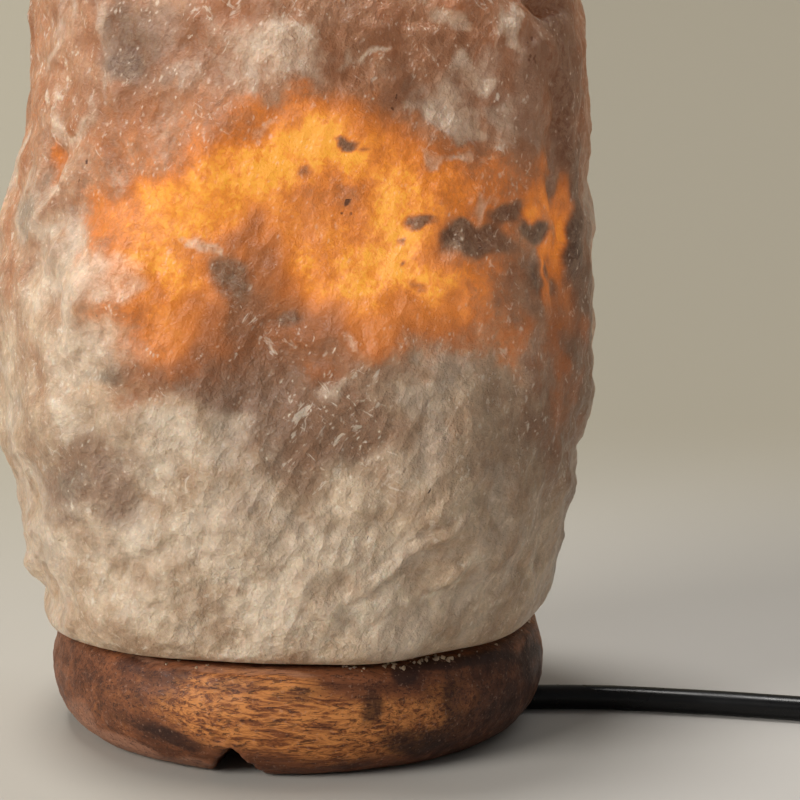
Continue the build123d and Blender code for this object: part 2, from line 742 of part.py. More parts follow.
def switch_screw_spots():
    x, y = SWITCH_SCREW_PLACE
    return [(-x, y), (x, -y)]


def switch_bottom():
    shell = extrude(switch_outline(0), SWITCH_SPLIT)
    shell = fillet(shell.edges().group_by(Axis.Z)[0], SWITCH_ROUNDING / 2)
    shell -= Pos(0, 0, SWITCH_WALL) * extrude(switch_outline(SWITCH_WALL), SWITCH_SPLIT)
    for x, y in switch_screw_spots():
        shell += Pos(x, y, 0) * ring(PILLAR_DIAMETER, 0, SWITCH_WALL / 2, SWITCH_SPLIT)
        shell -= Pos(x, y, 0) * ring(SWITCH_SCREW[0], 0, 0, SWITCH_SPLIT)
        shell -= Pos(x, y, 0) * ring(SWITCH_SCREW[1], 0, 0, SWITCH_SCREW[2])
    return at_switch(shell - switch_entries())


def switch_top():
    shell = extrude(Pos(0, 0, SWITCH_SPLIT) * switch_outline(0), SWITCH_HEIGHT - SWITCH_SPLIT)
    shell = fillet(shell.edges().group_by(Axis.Z)[-1], SWITCH_ROUNDING)
    ceiling = SWITCH_HEIGHT - SWITCH_WALL
    shell -= extrude(Pos(0, 0, SWITCH_SPLIT) * switch_outline(SWITCH_WALL), ceiling - SWITCH_SPLIT)
    for x, y in switch_screw_spots():
        shell += Pos(x, y, 0) * ring(PILLAR_DIAMETER, 0, SWITCH_SPLIT, ceiling)
        shell -= Pos(x, y, 0) * ring(SWITCH_SCREW[0], 0, SWITCH_SPLIT, PIVOT_HEIGHT)
    tilt = math.radians(ROCKER_TILT)
    swing = ROCKER_LENGTH / 2 * math.cos(tilt) + ROCKER_RISE * math.sin(tilt)
    opening = (2 * swing + 2 * ROCKER_GAP, ROCKER_WIDTH + 2 * ROCKER_GAP, SWITCH_WALL)
    shell -= box(opening, (-opening[0] / 2, -opening[1] / 2, ceiling))
    lug_start = ROCKER_WIDTH / 2 + ROCKER_GAP
    lug_low = PIVOT_HEIGHT - PIVOT_DIAMETER
    for side in (-1, 1):
        low_corner = (-PIVOT_DIAMETER, min(side * lug_start, side * (lug_start + LUG_WIDTH)), lug_low)
        shell += box((2 * PIVOT_DIAMETER, LUG_WIDTH, ceiling - lug_low), low_corner)
    reach = lug_start + LUG_WIDTH
    shell -= rod(PIVOT_DIAMETER, (0, -reach, PIVOT_HEIGHT), (0, reach, PIVOT_HEIGHT))
    return at_switch(shell - switch_entries())


def switch_rocker():
    """Rocker with a shallow V on top, tilted to the side that is on."""
    half = ROCKER_LENGTH / 2
    foot, low = ROCKER_FOOT
    outline = Polyline(
        (-foot, low),
        (foot, low),
        (half, ROCKER_RISE - ROCKER_EDGE),
        (half, ROCKER_RISE),
        (0, ROCKER_DIP),
        (-half, ROCKER_RISE),
        (-half, ROCKER_RISE - ROCKER_EDGE),
        close=True,
    )
    rocker = Plane.XZ * extrude(make_face(outline), ROCKER_WIDTH / 2, both=True)
    hole = rod(PIVOT_DIAMETER + 2 * PIVOT_CLEARANCE, (0, -ROCKER_WIDTH, 0), (0, ROCKER_WIDTH, 0))
    return at_switch(Pos(0, 0, PIVOT_HEIGHT) * Rot(0, ROCKER_TILT, 0) * (rocker - hole))


def rocker_pin():
    reach = ROCKER_WIDTH / 2 + ROCKER_GAP + LUG_WIDTH
    return at_switch(rod(PIVOT_DIAMETER, (0, -reach, PIVOT_HEIGHT), (0, reach, PIVOT_HEIGHT)))


def switch_screws():
    upright = Rot(180, 0, 0) * screw(SWITCH_SCREW, SWITCH_SCREW_LENGTH)
    return at_switch(group(Pos(x, y, 0) * upright for x, y in switch_screw_spots()))


def switch_blades():
    """Two fixed contact blades that stand on the switch's floor."""
    low_corner = (-BLADE_THICKNESS / 2, -BLADE_WIDTH / 2, SWITCH_WALL)
    blade = box((BLADE_THICKNESS, BLADE_WIDTH, BLADE_HEIGHT), low_corner)
    return at_switch(group(Pos(side * BLADE_PLACE, 0, 0) * blade for side in (-1, 1)))


def contact_bridge():
    """Moving contact that bridges the two blades."""
    top = SWITCH_WALL + BLADE_HEIGHT
    length = 2 * BLADE_PLACE + BLADE_THICKNESS
    low_corner = (-length / 2, -BLADE_WIDTH / 2, top)
    return at_switch(box((length, BLADE_WIDTH, BRIDGE_THICKNESS), low_corner))


def switch_cores():
    """Neutral core that runs past the contacts, and the two cut ends of the live core."""
    end = SWITCH_LENGTH / 2 - SHEATH_IN_SWITCH
    leave, settle = end - NEUTRAL_BEND[0], end - NEUTRAL_BEND[1]
    aside = CORE_SPACING / 2
    level = SWITCH_SPLIT - CORE_DIAMETER / 2
    neutral = [
        (-end, -aside, level),
        (-leave, -aside, level),
        (-settle, -NEUTRAL_ASIDE, level),
        (settle, -NEUTRAL_ASIDE, level),
        (leave, -aside, level),
        (end, -aside, level),
    ]
    path, _ = rounded_path(neutral)
    cores = [tube(CORE_DIAMETER, path)]
    contact = BLADE_PLACE + BLADE_THICKNESS / 2
    for side in (-1, 1):
        cores.append(rod(CORE_DIAMETER, (side * end, aside, level), (side * contact, aside, level)))
    return at_switch(group(cores))


# ================================================================ cord
def cord_lamp_to_switch():
    return cord_stretch(
        "cord_lamp_to_switch",
        [
            polar(SHEATH_START, CORD_NOTCH_AZIMUTH, OUTLET_HEIGHT),
            *[polar(r, CORD_NOTCH_AZIMUTH, FLOOR + up) for r, up in OUTLET_RUN],
            *[(x, y, FLOOR + up) for x, y, up in TABLE_RUN + SWITCH_APPROACH],
            switch_point(-SWITCH_LENGTH / 2 - SWITCH_STRAIGHT),
            switch_point(SHEATH_IN_SWITCH - SWITCH_LENGTH / 2),
        ],
    )


def cord_switch_to_coil():
    x = COIL_CENTRE[0] + COIL_RADIUS
    y = COIL_CENTRE[1]
    return cord_stretch(
        "cord_switch_to_coil",
        [
            switch_point(SWITCH_LENGTH / 2 - SHEATH_IN_SWITCH),
            switch_point(SWITCH_LENGTH / 2 + SWITCH_STRAIGHT),
            *[(x + dx, y + dy, FLOOR + up) for dx, dy, up in COIL_RUN],
            (x, y - CORD_DIAMETER, FLOOR),
        ],
    )


def coil_path():
    """Half turns that wind in on the floor, climb once and wind out on top, with straight ends."""
    step = COIL_PITCH / 2
    inwards = [COIL_RADIUS - step * k for k in range(HALF_TURNS_PER_LAYER + 1)]
    radii = inwards + inwards[::-1]
    joints = []
    for k, radius in enumerate(radii):
        height = FLOOR if k <= HALF_TURNS_PER_LAYER else FLOOR + COIL_RISE
        side = 1 if k % 2 == 0 else -1
        joints.append((Vector(COIL_CENTRE[0] + side * radius, COIL_CENTRE[1], height), Vector(0, side, 0)))
    start, heading = joints[0]
    edges = [Line(start - heading * CORD_DIAMETER, start)]
    for (p0, t0), (p1, t1) in zip(joints, joints[1:]):
        chord = p1 - p0
        reach = chord.length / 2
        middle = (p0 + t0 * reach + p1 - t1 * reach) / 2
        edges.append(TangentArc(p0, middle, tangent=t0))
        edges.append(TangentArc(p1, middle, tangent=-t1))
    end, heading = joints[-1]
    edges.append(Line(end, end + heading * CORD_DIAMETER))
    return Wire(edges)


def least_gap(path, diameter):
    """Smallest clear distance between stretches of a tube that aren't next to each other."""
    step = diameter / 2
    count = int(path.length / step)
    points = [path @ (i / count) for i in range(count + 1)]
    near = 4 * diameter / step
    gaps = [
        (points[i] - points[j]).length
        for i in range(len(points))
        for j in range(i + int(near), len(points))
    ]
    return min(gaps) - diameter


def cord_coil():
    path = coil_path()
    gap = least_gap(path, CORD_DIAMETER)
    print("cord_coil length", round(path.length, 1), "least gap to itself", round(gap, 2))
    return tube(CORD_DIAMETER, path)


def coil_end():
    """Where the coil's straight end stops."""
    return (COIL_CENTRE[0] - COIL_RADIUS, COIL_CENTRE[1] - CORD_DIAMETER, FLOOR + COIL_RISE)


def plug_start():
    """Where the cord enters the plug, and the plug's heading."""
    x, y, _ = coil_end()
    return (x + PLUG_OFFSET[0], y + PLUG_OFFSET[1], PLUG_AXIS_HEIGHT), PLUG_HEADING


def cord_coil_to_plug():
    x, y, z = coil_end()
    end, heading = plug_start()
    back = polar(PLUG_STRAIGHT, heading)
    return cord_stretch(
        "cord_coil_to_plug",
        [
            (x, y, z),
            *[(x + dx, y + dy, z + up) for dx, dy, up in PLUG_RUN],
            (end[0] - back[0], end[1] - back[1], end[2]),
            end,
        ],
    )


# ================================================================ plug
def at_plug(solid):
    """Place a solid built along +X from the end of the cord."""
    start, heading = plug_start()
    return Location(start, (0, 0, heading)) * solid


def plug_body():
    """Moulded body, wide at the pins, with a ribbed strain relief at its neck."""
    front = RELIEF_LENGTH + PLUG_LENGTH
    neck = RELIEF_LENGTH + PLUG_NECK_LENGTH
    flare = neck + PLUG_FLARE_LENGTH
    outline = [
        (RELIEF_LENGTH, PLUG_NECK_WIDTH / 2),
        (neck, PLUG_NECK_WIDTH / 2 + PLUG_NECK_FLARE),
        (flare, PLUG_WIDTH / 2),
        (front, PLUG_WIDTH / 2),
    ]
    face = make_face(Polyline(*outline, *[(x, -y) for x, y in reversed(outline)], close=True))
    body = extrude(face, PLUG_THICKNESS / 2, both=True)
    body = fillet(body.edges().filter_by(Axis.Z), PLUG_ROUNDING)
    levels = body.faces().sort_by(Axis.Z)
    body = fillet(levels[-1].edges() + levels[0].edges(), PLUG_ROUNDING / 2)
    slim, thick = RELIEF_DIAMETERS
    upright = (Align.CENTER, Align.CENTER, Align.MIN)
    relief = Rot(0, 90, 0) * Cone(slim / 2, thick / 2, RELIEF_LENGTH, align=upright)
    pitch = RELIEF_LENGTH / (RELIEF_RINGS + 1)
    for index in range(RELIEF_RINGS):
        place = pitch * (index + 1)
        groove = ring(2 * thick, slim - RING_GROOVE, place - pitch / 4, place + pitch / 4)
        relief -= Rot(0, 90, 0) * groove
    body += relief
    for side in (-1, 1):
        y = side * PIN_SPACING / 2
        body -= rod(PIN_CORE_DIAMETER, (front - PIN_ROOT, y, 0), (front, y, 0))
    return at_plug(body)


def plug_pins():
    front = RELIEF_LENGTH + PLUG_LENGTH
    pin = rod(PIN_CORE_DIAMETER, (front - PIN_ROOT, 0, 0), (front + SLEEVE_LENGTH, 0, 0))
    tip = rod(PIN_DIAMETER, (front + SLEEVE_LENGTH, 0, 0), (front + PIN_LENGTH, 0, 0))
    pin += fillet(tip.edges().group_by(Axis.X)[-1], PIN_DIAMETER / 3)
    return at_plug(group(Pos(0, side * PIN_SPACING / 2, 0) * pin for side in (-1, 1)))


def pin_sleeves():
    front = RELIEF_LENGTH + PLUG_LENGTH
    sleeve = rod(SLEEVE_DIAMETER, (front, 0, 0), (front + SLEEVE_LENGTH, 0, 0))
    sleeve -= rod(PIN_CORE_DIAMETER, (front, 0, 0), (front + SLEEVE_LENGTH, 0, 0))
    return at_plug(group(Pos(0, side * PIN_SPACING / 2, 0) * sleeve for side in (-1, 1)))


# ================================================================ the lamp
LAMP = {
    "salt_crystal": salt_crystal,
    "wooden_base": wooden_base,
    "glue_bed": glue_bed,
    "holder_cap": holder_cap,
    "cap_screws": cap_screws,
    "cord_clamp": cord_clamp,
    "clamp_screws": clamp_screws,
    "holder_body": holder_body,
    "thread_shell": thread_shell,
    "centre_contact": centre_contact,
    "live_terminal": lambda: terminal(1),
    "neutral_terminal": lambda: terminal(-1),
    "terminal_screws": terminal_screws,
    "live_core": lambda: core(1),
    "neutral_core": lambda: core(-1),
    "spring_clip": spring_clip,
    "bulb_glass": bulb_glass,
    "bulb_cap": bulb_cap,
    "bulb_insulator": bulb_insulator,
    "bulb_contact": bulb_contact,
    "bulb_stem": bulb_stem,
    "bulb_leads": bulb_leads,
    "filament": filament,
    "cord_lamp_to_switch": cord_lamp_to_switch,
    "switch_bottom": switch_bottom,
    "switch_top": switch_top,
    "switch_rocker": switch_rocker,
    "rocker_pin": rocker_pin,
    "switch_screws": switch_screws,
    "switch_blades": switch_blades,
    "contact_bridge": contact_bridge,
    "switch_cores": switch_cores,
    "cord_switch_to_coil": cord_switch_to_coil,
    "cord_coil": cord_coil,
    "cord_coil_to_plug": cord_coil_to_plug,
    "plug_body": plug_body,
    "plug_pins": plug_pins,
    "pin_sleeves": pin_sleeves,
}

os.makedirs("parts", exist_ok=True)
for node, build in LAMP.items():
    export_step(build(), f"parts/{node}.step")
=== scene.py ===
import json
import math

import bmesh
import bpy
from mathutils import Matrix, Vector, noise


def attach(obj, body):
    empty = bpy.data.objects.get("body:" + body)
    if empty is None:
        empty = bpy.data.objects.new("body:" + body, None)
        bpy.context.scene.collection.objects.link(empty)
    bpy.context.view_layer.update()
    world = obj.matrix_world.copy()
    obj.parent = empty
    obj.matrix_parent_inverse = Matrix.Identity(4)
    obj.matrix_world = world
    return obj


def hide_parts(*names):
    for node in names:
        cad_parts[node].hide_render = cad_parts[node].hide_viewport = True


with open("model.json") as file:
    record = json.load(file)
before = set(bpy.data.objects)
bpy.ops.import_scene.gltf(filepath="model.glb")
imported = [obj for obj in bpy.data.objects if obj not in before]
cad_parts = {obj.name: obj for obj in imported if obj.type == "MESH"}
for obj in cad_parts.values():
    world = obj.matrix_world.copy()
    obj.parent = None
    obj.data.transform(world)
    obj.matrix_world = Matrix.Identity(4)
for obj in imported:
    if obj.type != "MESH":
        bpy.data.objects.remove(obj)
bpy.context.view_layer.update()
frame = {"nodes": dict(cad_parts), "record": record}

# A salt crystal lamp. Lengths below are in millimetres unless they say otherwise; places written
# as (px, py) are pixels of the photograph's 800 x 800 frame, turned into places on the lamp.
MM = 0.001
SCENE = bpy.context.scene
NODES = frame["nodes"]

# ================================================================== camera
# The photograph's view: long lens, a little above the lamp and looking slightly down.
CAMERA_PLACE = (0.0249, -0.7855, 0.2302)
CAMERA_TILT = 79.06
CAMERA_LENS = 148.8
FRAME_SIZE = 800


def add_camera():
    data = bpy.data.cameras.new("camera")
    data.lens = CAMERA_LENS
    data.sensor_width = 36.0
    data.clip_end = 20.0
    camera = bpy.data.objects.new("camera", data)
    camera.location = CAMERA_PLACE
    camera.rotation_euler = (math.radians(CAMERA_TILT), 0, 0)
    SCENE.collection.objects.link(camera)
    SCENE.camera = camera


DOWN = math.radians(90 - CAMERA_TILT)
AHEAD = Vector((0, math.cos(DOWN), -math.sin(DOWN)))
ABOVE = Vector((0, math.sin(DOWN), math.cos(DOWN)))
FOCAL = CAMERA_LENS / 36.0 * FRAME_SIZE


def to_pixel(place):
    """Pixel of the photograph's frame where a place (metres) on the lamp's front lies."""
    ray = place - Vector(CAMERA_PLACE)
    depth = ray.dot(AHEAD)
    return FRAME_SIZE / 2 + FOCAL * ray.x / depth, FRAME_SIZE / 2 - FOCAL * ray.dot(ABOVE) / depth


# ================================================================== cord
CORD_DIAMETER = 6.0
FLOOR = CORD_DIAMETER / 2
CORD_AZIMUTH = 3.0
OUTLET_HEIGHT = 5.5
SWITCH_PLACE = (169.6, -18.1)
SWITCH_HEADING = -14.0
SWITCH_SPLIT = 6.5
COIL_CENTRE = (199.2, 45.0)
COIL_RADIUS = 48.0
COIL_PITCH = 8.0
COIL_RISE = 6.6
HALF_TURNS_PER_LAYER = 6
POINTS_PER_HALF_TURN = 8
PLUG_OFFSET = (64.3, -10.3)
PLUG_STRAIGHT = 14.6
PLUG_HEADING = 84.0
PLUG_AXIS_HEIGHT = COIL_RISE + CORD_DIAMETER + 13.7 / 2


def polar(radius, azimuth, height=0.0):
    angle = math.radians(azimuth)
    return (radius * math.cos(angle), radius * math.sin(angle), height)


def switch_point(along):
    x, y, _ = polar(along, SWITCH_HEADING)
    return (SWITCH_PLACE[0] + x, SWITCH_PLACE[1] + y, SWITCH_SPLIT)


def coil_points():
    """The coil's turns: half turns that wind in, climb once and wind out on top."""
    inwards = [COIL_RADIUS - COIL_PITCH / 2 * k for k in range(HALF_TURNS_PER_LAYER + 1)]
    radii = inwards + inwards[::-1]
    points = []
    for k, (start, end) in enumerate(zip(radii, radii[1:])):
        for step in range(POINTS_PER_HALF_TURN):
            share = step / POINTS_PER_HALF_TURN
            radius = start + (end - start) * share
            if k < HALF_TURNS_PER_LAYER:
                height = FLOOR
            elif k == HALF_TURNS_PER_LAYER:
                height = FLOOR + COIL_RISE * share * share * (3 - 2 * share)
            else:
                height = FLOOR + COIL_RISE
            x, y, _ = polar(radius, 180 * (k + share))
            points.append((COIL_CENTRE[0] + x, COIL_CENTRE[1] + y, height))
    return points


def cord_route():
    side = COIL_CENTRE[0] + COIL_RADIUS
    end = (COIL_CENTRE[0] - COIL_RADIUS, COIL_CENTRE[1] - CORD_DIAMETER, FLOOR + COIL_RISE)
    plug = (end[0] + PLUG_OFFSET[0], end[1] + PLUG_OFFSET[1], PLUG_AXIS_HEIGHT)
    back = polar(PLUG_STRAIGHT, PLUG_HEADING)
    lamp_run = [
        polar(8.0, CORD_AZIMUTH, OUTLET_HEIGHT),
        polar(22.0, CORD_AZIMUTH, OUTLET_HEIGHT),
        polar(36.5, CORD_AZIMUTH, FLOOR + 0.5),
        (50.0, 2.9, FLOOR + 0.1),
        (63.0, 3.5, FLOOR + 0.05),
        (76.5, 3.1, FLOOR),
        (90.0, 0.6, FLOOR),
        (105.0, -2.4, FLOOR),
        (119.0, -6.0, FLOOR),
        (125.8, -7.7, FLOOR),
        switch_point(-39.5),
        switch_point(-26.0),
    ]
    coil_run = [
        switch_point(26.0),
        switch_point(39.5),
        (side - 23.4, COIL_CENTRE[1] - 71.4, FLOOR + 0.5),
        (side - 9.2, COIL_CENTRE[1] - 63.3, FLOOR),
        (side - 1.1, COIL_CENTRE[1] - 48.8, FLOOR),
        (side + 0.7, COIL_CENTRE[1] - 32.5, FLOOR),
        (side, COIL_CENTRE[1] - 18.5, FLOOR),
    ]
    plug_run = [
        end,
        (end[0], end[1] - 16.5, end[2]),
        (end[0] + 8.0, end[1] - 31.5, end[2] + 0.8),
        (end[0] + 22.1, end[1] - 41.0, end[2] + 3.0),
        (end[0] + 39.0, end[1] - 42.8, end[2] + 6.0),
        (end[0] + 53.8, end[1] - 36.8, end[2] + 8.8),
        (plug[0] - back[0], plug[1] - back[1], plug[2]),
        plug,
    ]
    return lamp_run + coil_run + coil_points() + plug_run


def add_cord(material):
    points = [Vector(p) * MM for p in cord_route()]
    curve = bpy.data.curves.new("mains_cord", "CURVE")
    curve.dimensions = "3D"
    spline = curve.splines.new("NURBS")
    spline.points.add(len(points) - 1)
    for slot, point in zip(spline.points, points):
        slot.co = (*point, 1.0)
    spline.order_u = 3
    spline.use_endpoint_u = True
    spline.resolution_u = 8
    curve.bevel_depth = CORD_DIAMETER / 2 * MM
    curve.bevel_resolution = 6
    curve.use_fill_caps = True
    curve.materials.append(material)
    cord = bpy.data.objects.new("mains_cord", curve)
    SCENE.collection.objects.link(cord)
    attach(cord, "light_unit")
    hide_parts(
        "cord_lamp_to_switch", "cord_switch_to_coil", "cord_coil", "cord_coil_to_plug"
    )


# ================================================================== material helpers
def new_material(name):
    material = bpy.data.materials.new(name)
    material.use_nodes = True
    tree = material.node_tree
    return material, tree, tree.nodes["Principled BSDF"]


def put(tree, kind, inputs=(), **settings):
    """Add a node, set its properties, and set or link its inputs by name or number."""
    made = tree.nodes.new(kind)
    for key, value in settings.items():
        setattr(made, key, value)
    for key, value in dict(inputs).items():
        socket = made.inputs[key]
        if isinstance(value, bpy.types.NodeSocket):
            tree.links.new(value, socket)
        else:
            socket.default_value = value
    return made


def calc(tree, operation, a, b):
    return put(tree, "ShaderNodeMath", {0: a, 1: b}, operation=operation).outputs[0]


def plus(tree, a, b):
    return calc(tree, "ADD", a, b)


def times(tree, a, b):
    return calc(tree, "MULTIPLY", a, b)


def blend(tree, share, a, b, mode="MIX"):
    made = put(tree, "ShaderNodeMix", data_type="RGBA", blend_type=mode)
    for key, value in ((0, share), (6, a), (7, b)):
        if isinstance(value, bpy.types.NodeSocket):
            tree.links.new(value, made.inputs[key])
        else:
            made.inputs[key].default_value = value if key == 0 else (*value, 1.0)
    return made.outputs[2]


def place(tree, stretch=(1.0, 1.0, 1.0), turn=(0.0, 0.0, 0.0)):
    """Object coordinates, turned and then stretched; a small share draws features out."""
    coords = put(tree, "ShaderNodeTexCoord").outputs["Object"]
    angles = tuple(math.radians(a) for a in turn)
    scale = tuple(1 / share for share in stretch)
    inputs = {"Vector": coords, "Rotation": angles, "Scale": scale}
    return put(tree, "ShaderNodeMapping", inputs, vector_type="TEXTURE").outputs[0]


def grain(tree, where, size, detail=3.0, rough=0.55, twist=0.0):
    """Noise with features about as large as a size in millimetres."""
    inputs = {
        "Vector": where,
        "Scale": 1000.0 / size,
        "Detail": detail,
        "Roughness": rough,
        "Distortion": twist,
    }
    return put(tree, "ShaderNodeTexNoise", inputs).outputs["Fac"]


def cells(tree, where, size):
    """Distance to the middle of the nearest of some cells, about a size in millimetres wide."""
    inputs = {"Vector": where, "Scale": 1000.0 / size}
    return put(tree, "ShaderNodeTexVoronoi", inputs).outputs["Distance"]


def cell_pick(tree, made, channel):
    """A value from 0 to 1 that differs from cell to cell."""
    return put(tree, "ShaderNodeSeparateColor", {0: made.outputs["Color"]}).outputs[channel]


def span(tree, value, low, high, start=0.0, end=1.0):
    """Smooth step from a start to an end while a value goes from low to high."""
    inputs = {0: value, 1: low, 2: high, 3: start, 4: end}
    made = put(tree, "ShaderNodeMapRange", inputs, interpolation_type="SMOOTHSTEP")
    return made.outputs[0]


def mask(tree, name):
    made = put(tree, "ShaderNodeAttribute", attribute_type="GEOMETRY", attribute_name=name)
    return made.outputs["Fac"]


def bump(tree, height, depth, strength=1.0, under=None):
    """Bump whose full height difference is a depth in millimetres."""
    inputs = {"Height": height, "Distance": depth * MM, "Strength": strength}
    if under is not None:
        inputs["Normal"] = under
    return put(tree, "ShaderNodeBump", inputs).outputs[0]


# ================================================================== salt
# Patches seen on the crystal: centre, half sizes and tilt in pixels and degrees, and strength.
GLOW = (
    (200, 198, 66, 30, -24, 0.95), (312, 150, 62, 20, -8, 1.00), (150, 236, 34, 44, 0, 0.50),
    (182, 304, 34, 34, 0, 0.62), (388, 178, 34, 34, 0, 0.66), (398, 232, 40, 36, 0, 0.92),
    (372, 280, 56, 22, -5, 1.00), (444, 292, 30, 20, 0, 0.62), (262, 186, 44, 22, -20, 0.60),
    (300, 232, 60, 50, 0, 0.46), (440, 176, 40, 34, 0, 0.40), (300, 292, 92, 58, 0, 0.30),
    (228, 124, 100, 34, 0, 0.26), (340, 112, 66, 28, 0, 0.50), (486, 196, 56, 44, 0, 0.24),
    (490, 276, 40, 50, 0, 0.18), (549, 232, 9, 70, 0, 0.50), (186, 346, 36, 20, 0, 0.48),
    (52, 168, 6, 26, 22, 0.42), (30, 110, 7, 60, 0, 0.26), (249, 246, 7, 5, 0, 0.70),
    (330, 62, 190, 56, 0, 0.10), (390, 322, 64, 22, 0, 0.32), (512, 352, 14, 36, 0, 0.24),
    (566, 372, 12, 60, 0, 0.24), (110, 190, 50, 60, 0, 0.20), (480, 330, 60, 34, 0, 0.10),
    (100, 110, 60, 40, 0, 0.14), (280, 236, 210, 110, 0, 0.26), (538, 180, 16, 40, 0, 0.25),
    (562, 300, 24, 130, 0, 0.30), (520, 390, 44, 50, 0, 0.10), (132, 290, 44, 80, 0, 0.34),
    (150, 385, 60, 26, 0, 0.26), (380, 340, 90, 26, 0, 0.20), (470, 240, 100, 100, 0, 0.08),
    (252, 200, 34, 24, -20, 0.70), (184, 300, 26, 40, 0, 0.45), (300, 350, 60, 26, 0, 0.26),
)
# Brown patches. Those along the right edge are painted shade on the crystal's shaded right side.
BROWN_AND_SHADE = (
    (246, 256, 32, 40, 0, 0.60), (272, 342, 98, 50, 0, 0.80), (206, 378, 92, 28, 0, 0.80),
    (302, 434, 74, 50, 0, 0.85), (86, 474, 58, 48, -10, 0.70), (352, 400, 72, 42, 0, 0.45),
    (122, 112, 58, 32, 0, 0.45), (322, 28, 110, 30, 0, 0.35), (432, 92, 92, 60, 0, 0.40),
    (58, 268, 20, 44, 0, 0.35), (130, 506, 66, 40, 0, 0.30), (296, 216, 34, 26, 0, 0.22),
    (520, 470, 44, 80, 0, 0.35), (556, 110, 34, 110, 0, 0.55), (500, 60, 60, 60, 0, 0.50),
    (480, 420, 60, 60, 0, 0.25), (24, 420, 14, 60, 0, 0.35), (180, 56, 60, 40, 0, 0.40),
    (262, 300, 40, 60, 0, 0.40), (562, 400, 26, 90, 0, 0.80), (574, 250, 14, 110, 0, 0.75),
    (560, 40, 34, 60, 0, 0.75), (530, 300, 30, 60, 0, 0.50), (440, 330, 60, 30, 0, 0.35),
    (592, 250, 22, 230, 0, 0.75), (410, 462, 56, 46, 0, 0.32), (86, 474, 44, 36, 0, 0.35),
    (300, 352, 34, 16, 0, 0.50), (140, 30, 50, 40, 0, 0.40),
)
# Grey inclusions. The strips along the right edge and at the top right corner are painted shade.
GREY_AND_SHADE = (
    (116, 24, 20, 30, 10, 0.62), (142, 48, 18, 26, 0, 0.58), (126, 66, 22, 14, 0, 0.80),
    (152, 72, 36, 22, 0, 0.40), (186, 20, 44, 26, 0, 0.35), (232, 280, 22, 32, 0, 0.75),
    (288, 318, 16, 10, 0, 0.60), (345, 140, 9, 6, 0, 1.00), (362, 147, 4, 4, 0, 0.90),
    (306, 173, 8, 5, 0, 0.60), (420, 222, 19, 6, -5, 0.90), (470, 233, 30, 13, -5, 1.00),
    (512, 210, 22, 13, -20, 0.90), (533, 231, 12, 9, 0, 0.90), (541, 274, 9, 18, 0, 0.75),
    (402, 242, 5, 4, 0, 0.70), (402, 261, 5, 4, 0, 0.70), (412, 288, 12, 8, 0, 0.55),
    (534, 300, 9, 50, 0, 0.40), (106, 375, 24, 12, 0, 0.70), (524, 60, 14, 28, 20, 0.55),
    (574, 210, 10, 84, 0, 0.90), (566, 100, 13, 70, 0, 0.70), (548, 6, 26, 16, 0, 1.00),
    (120, 270, 16, 12, 0, 0.20), (72, 480, 26, 24, 0, 0.45), (26, 212, 10, 26, 0, 0.60),
    (42, 560, 12, 22, 0, 0.40), (586, 300, 7, 60, 0, 0.60), (484, 246, 34, 10, 0, 0.60),
    (412, 82, 8, 6, 0, 0.60), (452, 250, 26, 12, 0, 0.40), (500, 246, 20, 10, 10, 0.45),
    (560, 56, 24, 60, 0, 0.75),
)
WHITE = (
    (48, 91, 10, 13, 0, 0.95), (70, 128, 14, 30, 0, 0.55), (78, 290, 26, 32, 0, 0.75),
    (62, 250, 22, 34, 0, 0.50), (38, 288, 12, 32, 0, 0.50), (112, 272, 28, 22, 0, 0.60),
    (44, 196, 12, 10, 0, 0.70), (210, 240, 22, 7, 18, 0.80), (270, 116, 14, 6, 0, 0.45),
    (375, 56, 11, 5, -6, 0.90), (352, 47, 10, 8, 0, 0.60), (306, 52, 34, 22, 0, 0.50),
    (437, 96, 26, 18, 0, 0.70), (472, 76, 22, 20, 0, 0.70), (442, 12, 26, 16, 0, 0.80),
    (503, 25, 14, 10, 0, 0.80), (458, 120, 30, 20, 0, 0.75), (475, 138, 18, 10, 0, 0.80),
    (458, 158, 36, 5, 8, 0.75), (478, 196, 10, 14, 0, 0.75), (364, 345, 26, 9, 22, 0.45),
    (344, 384, 26, 16, 0, 0.40), (58, 404, 12, 12, 0, 0.70), (70, 425, 18, 16, 0, 0.60),
    (200, 540, 190, 120, 0, 0.45), (330, 596, 96, 58, 0, 0.50), (166, 438, 30, 22, 0, 0.75),
    (214, 534, 6, 8, 0, 0.90), (326, 612, 12, 10, 0, 0.80), (186, 622, 12, 8, 0, 0.80),
    (230, 650, 14, 8, 0, 0.70), (50, 550, 18, 14, 0, 0.60), (130, 548, 26, 20, 0, 0.50),
    (90, 350, 44, 34, 0, 0.55), (432, 540, 60, 8, -34, 0.45), (400, 560, 50, 6, -34, 0.45),
    (476, 566, 60, 8, -36, 0.45), (450, 610, 80, 30, -15, 0.30), (250, 40, 60, 34, 0, 0.35),
    (500, 130, 30, 18, 0, 0.40), (420, 470, 50, 40, 0, 0.30), (300, 560, 80, 40, 0, 0.35),
)
# Pits, darkened with painted shade where small holes are.
PITS = (
    (84, 164, 7, 5, 0, 1.0), (76, 182, 5, 8, 0, 1.0), (110, 160, 5, 5, 0, 0.9),
    (108, 316, 14, 5, 0, 1.0), (338, 206, 18, 12, -20, 1.0), (256, 214, 6, 10, 0, 0.9),
    (344, 140, 12, 8, 0, 0.8), (404, 100, 10, 14, 30, 0.8), (120, 66, 18, 10, 0, 0.8),
    (530, 56, 14, 20, 0, 0.8), (428, 500, 10, 10, 0, 0.8), (366, 535, 6, 14, 0, 0.8),
    (430, 396, 8, 6, 0, 0.7), (60, 440, 30, 30, 0, 0.5), (300, 330, 60, 40, 0, 0.4),
    (470, 235, 30, 14, 0, 0.6), (100, 268, 10, 8, 0, 0.6), (150, 130, 40, 30, 0, 0.4),
)
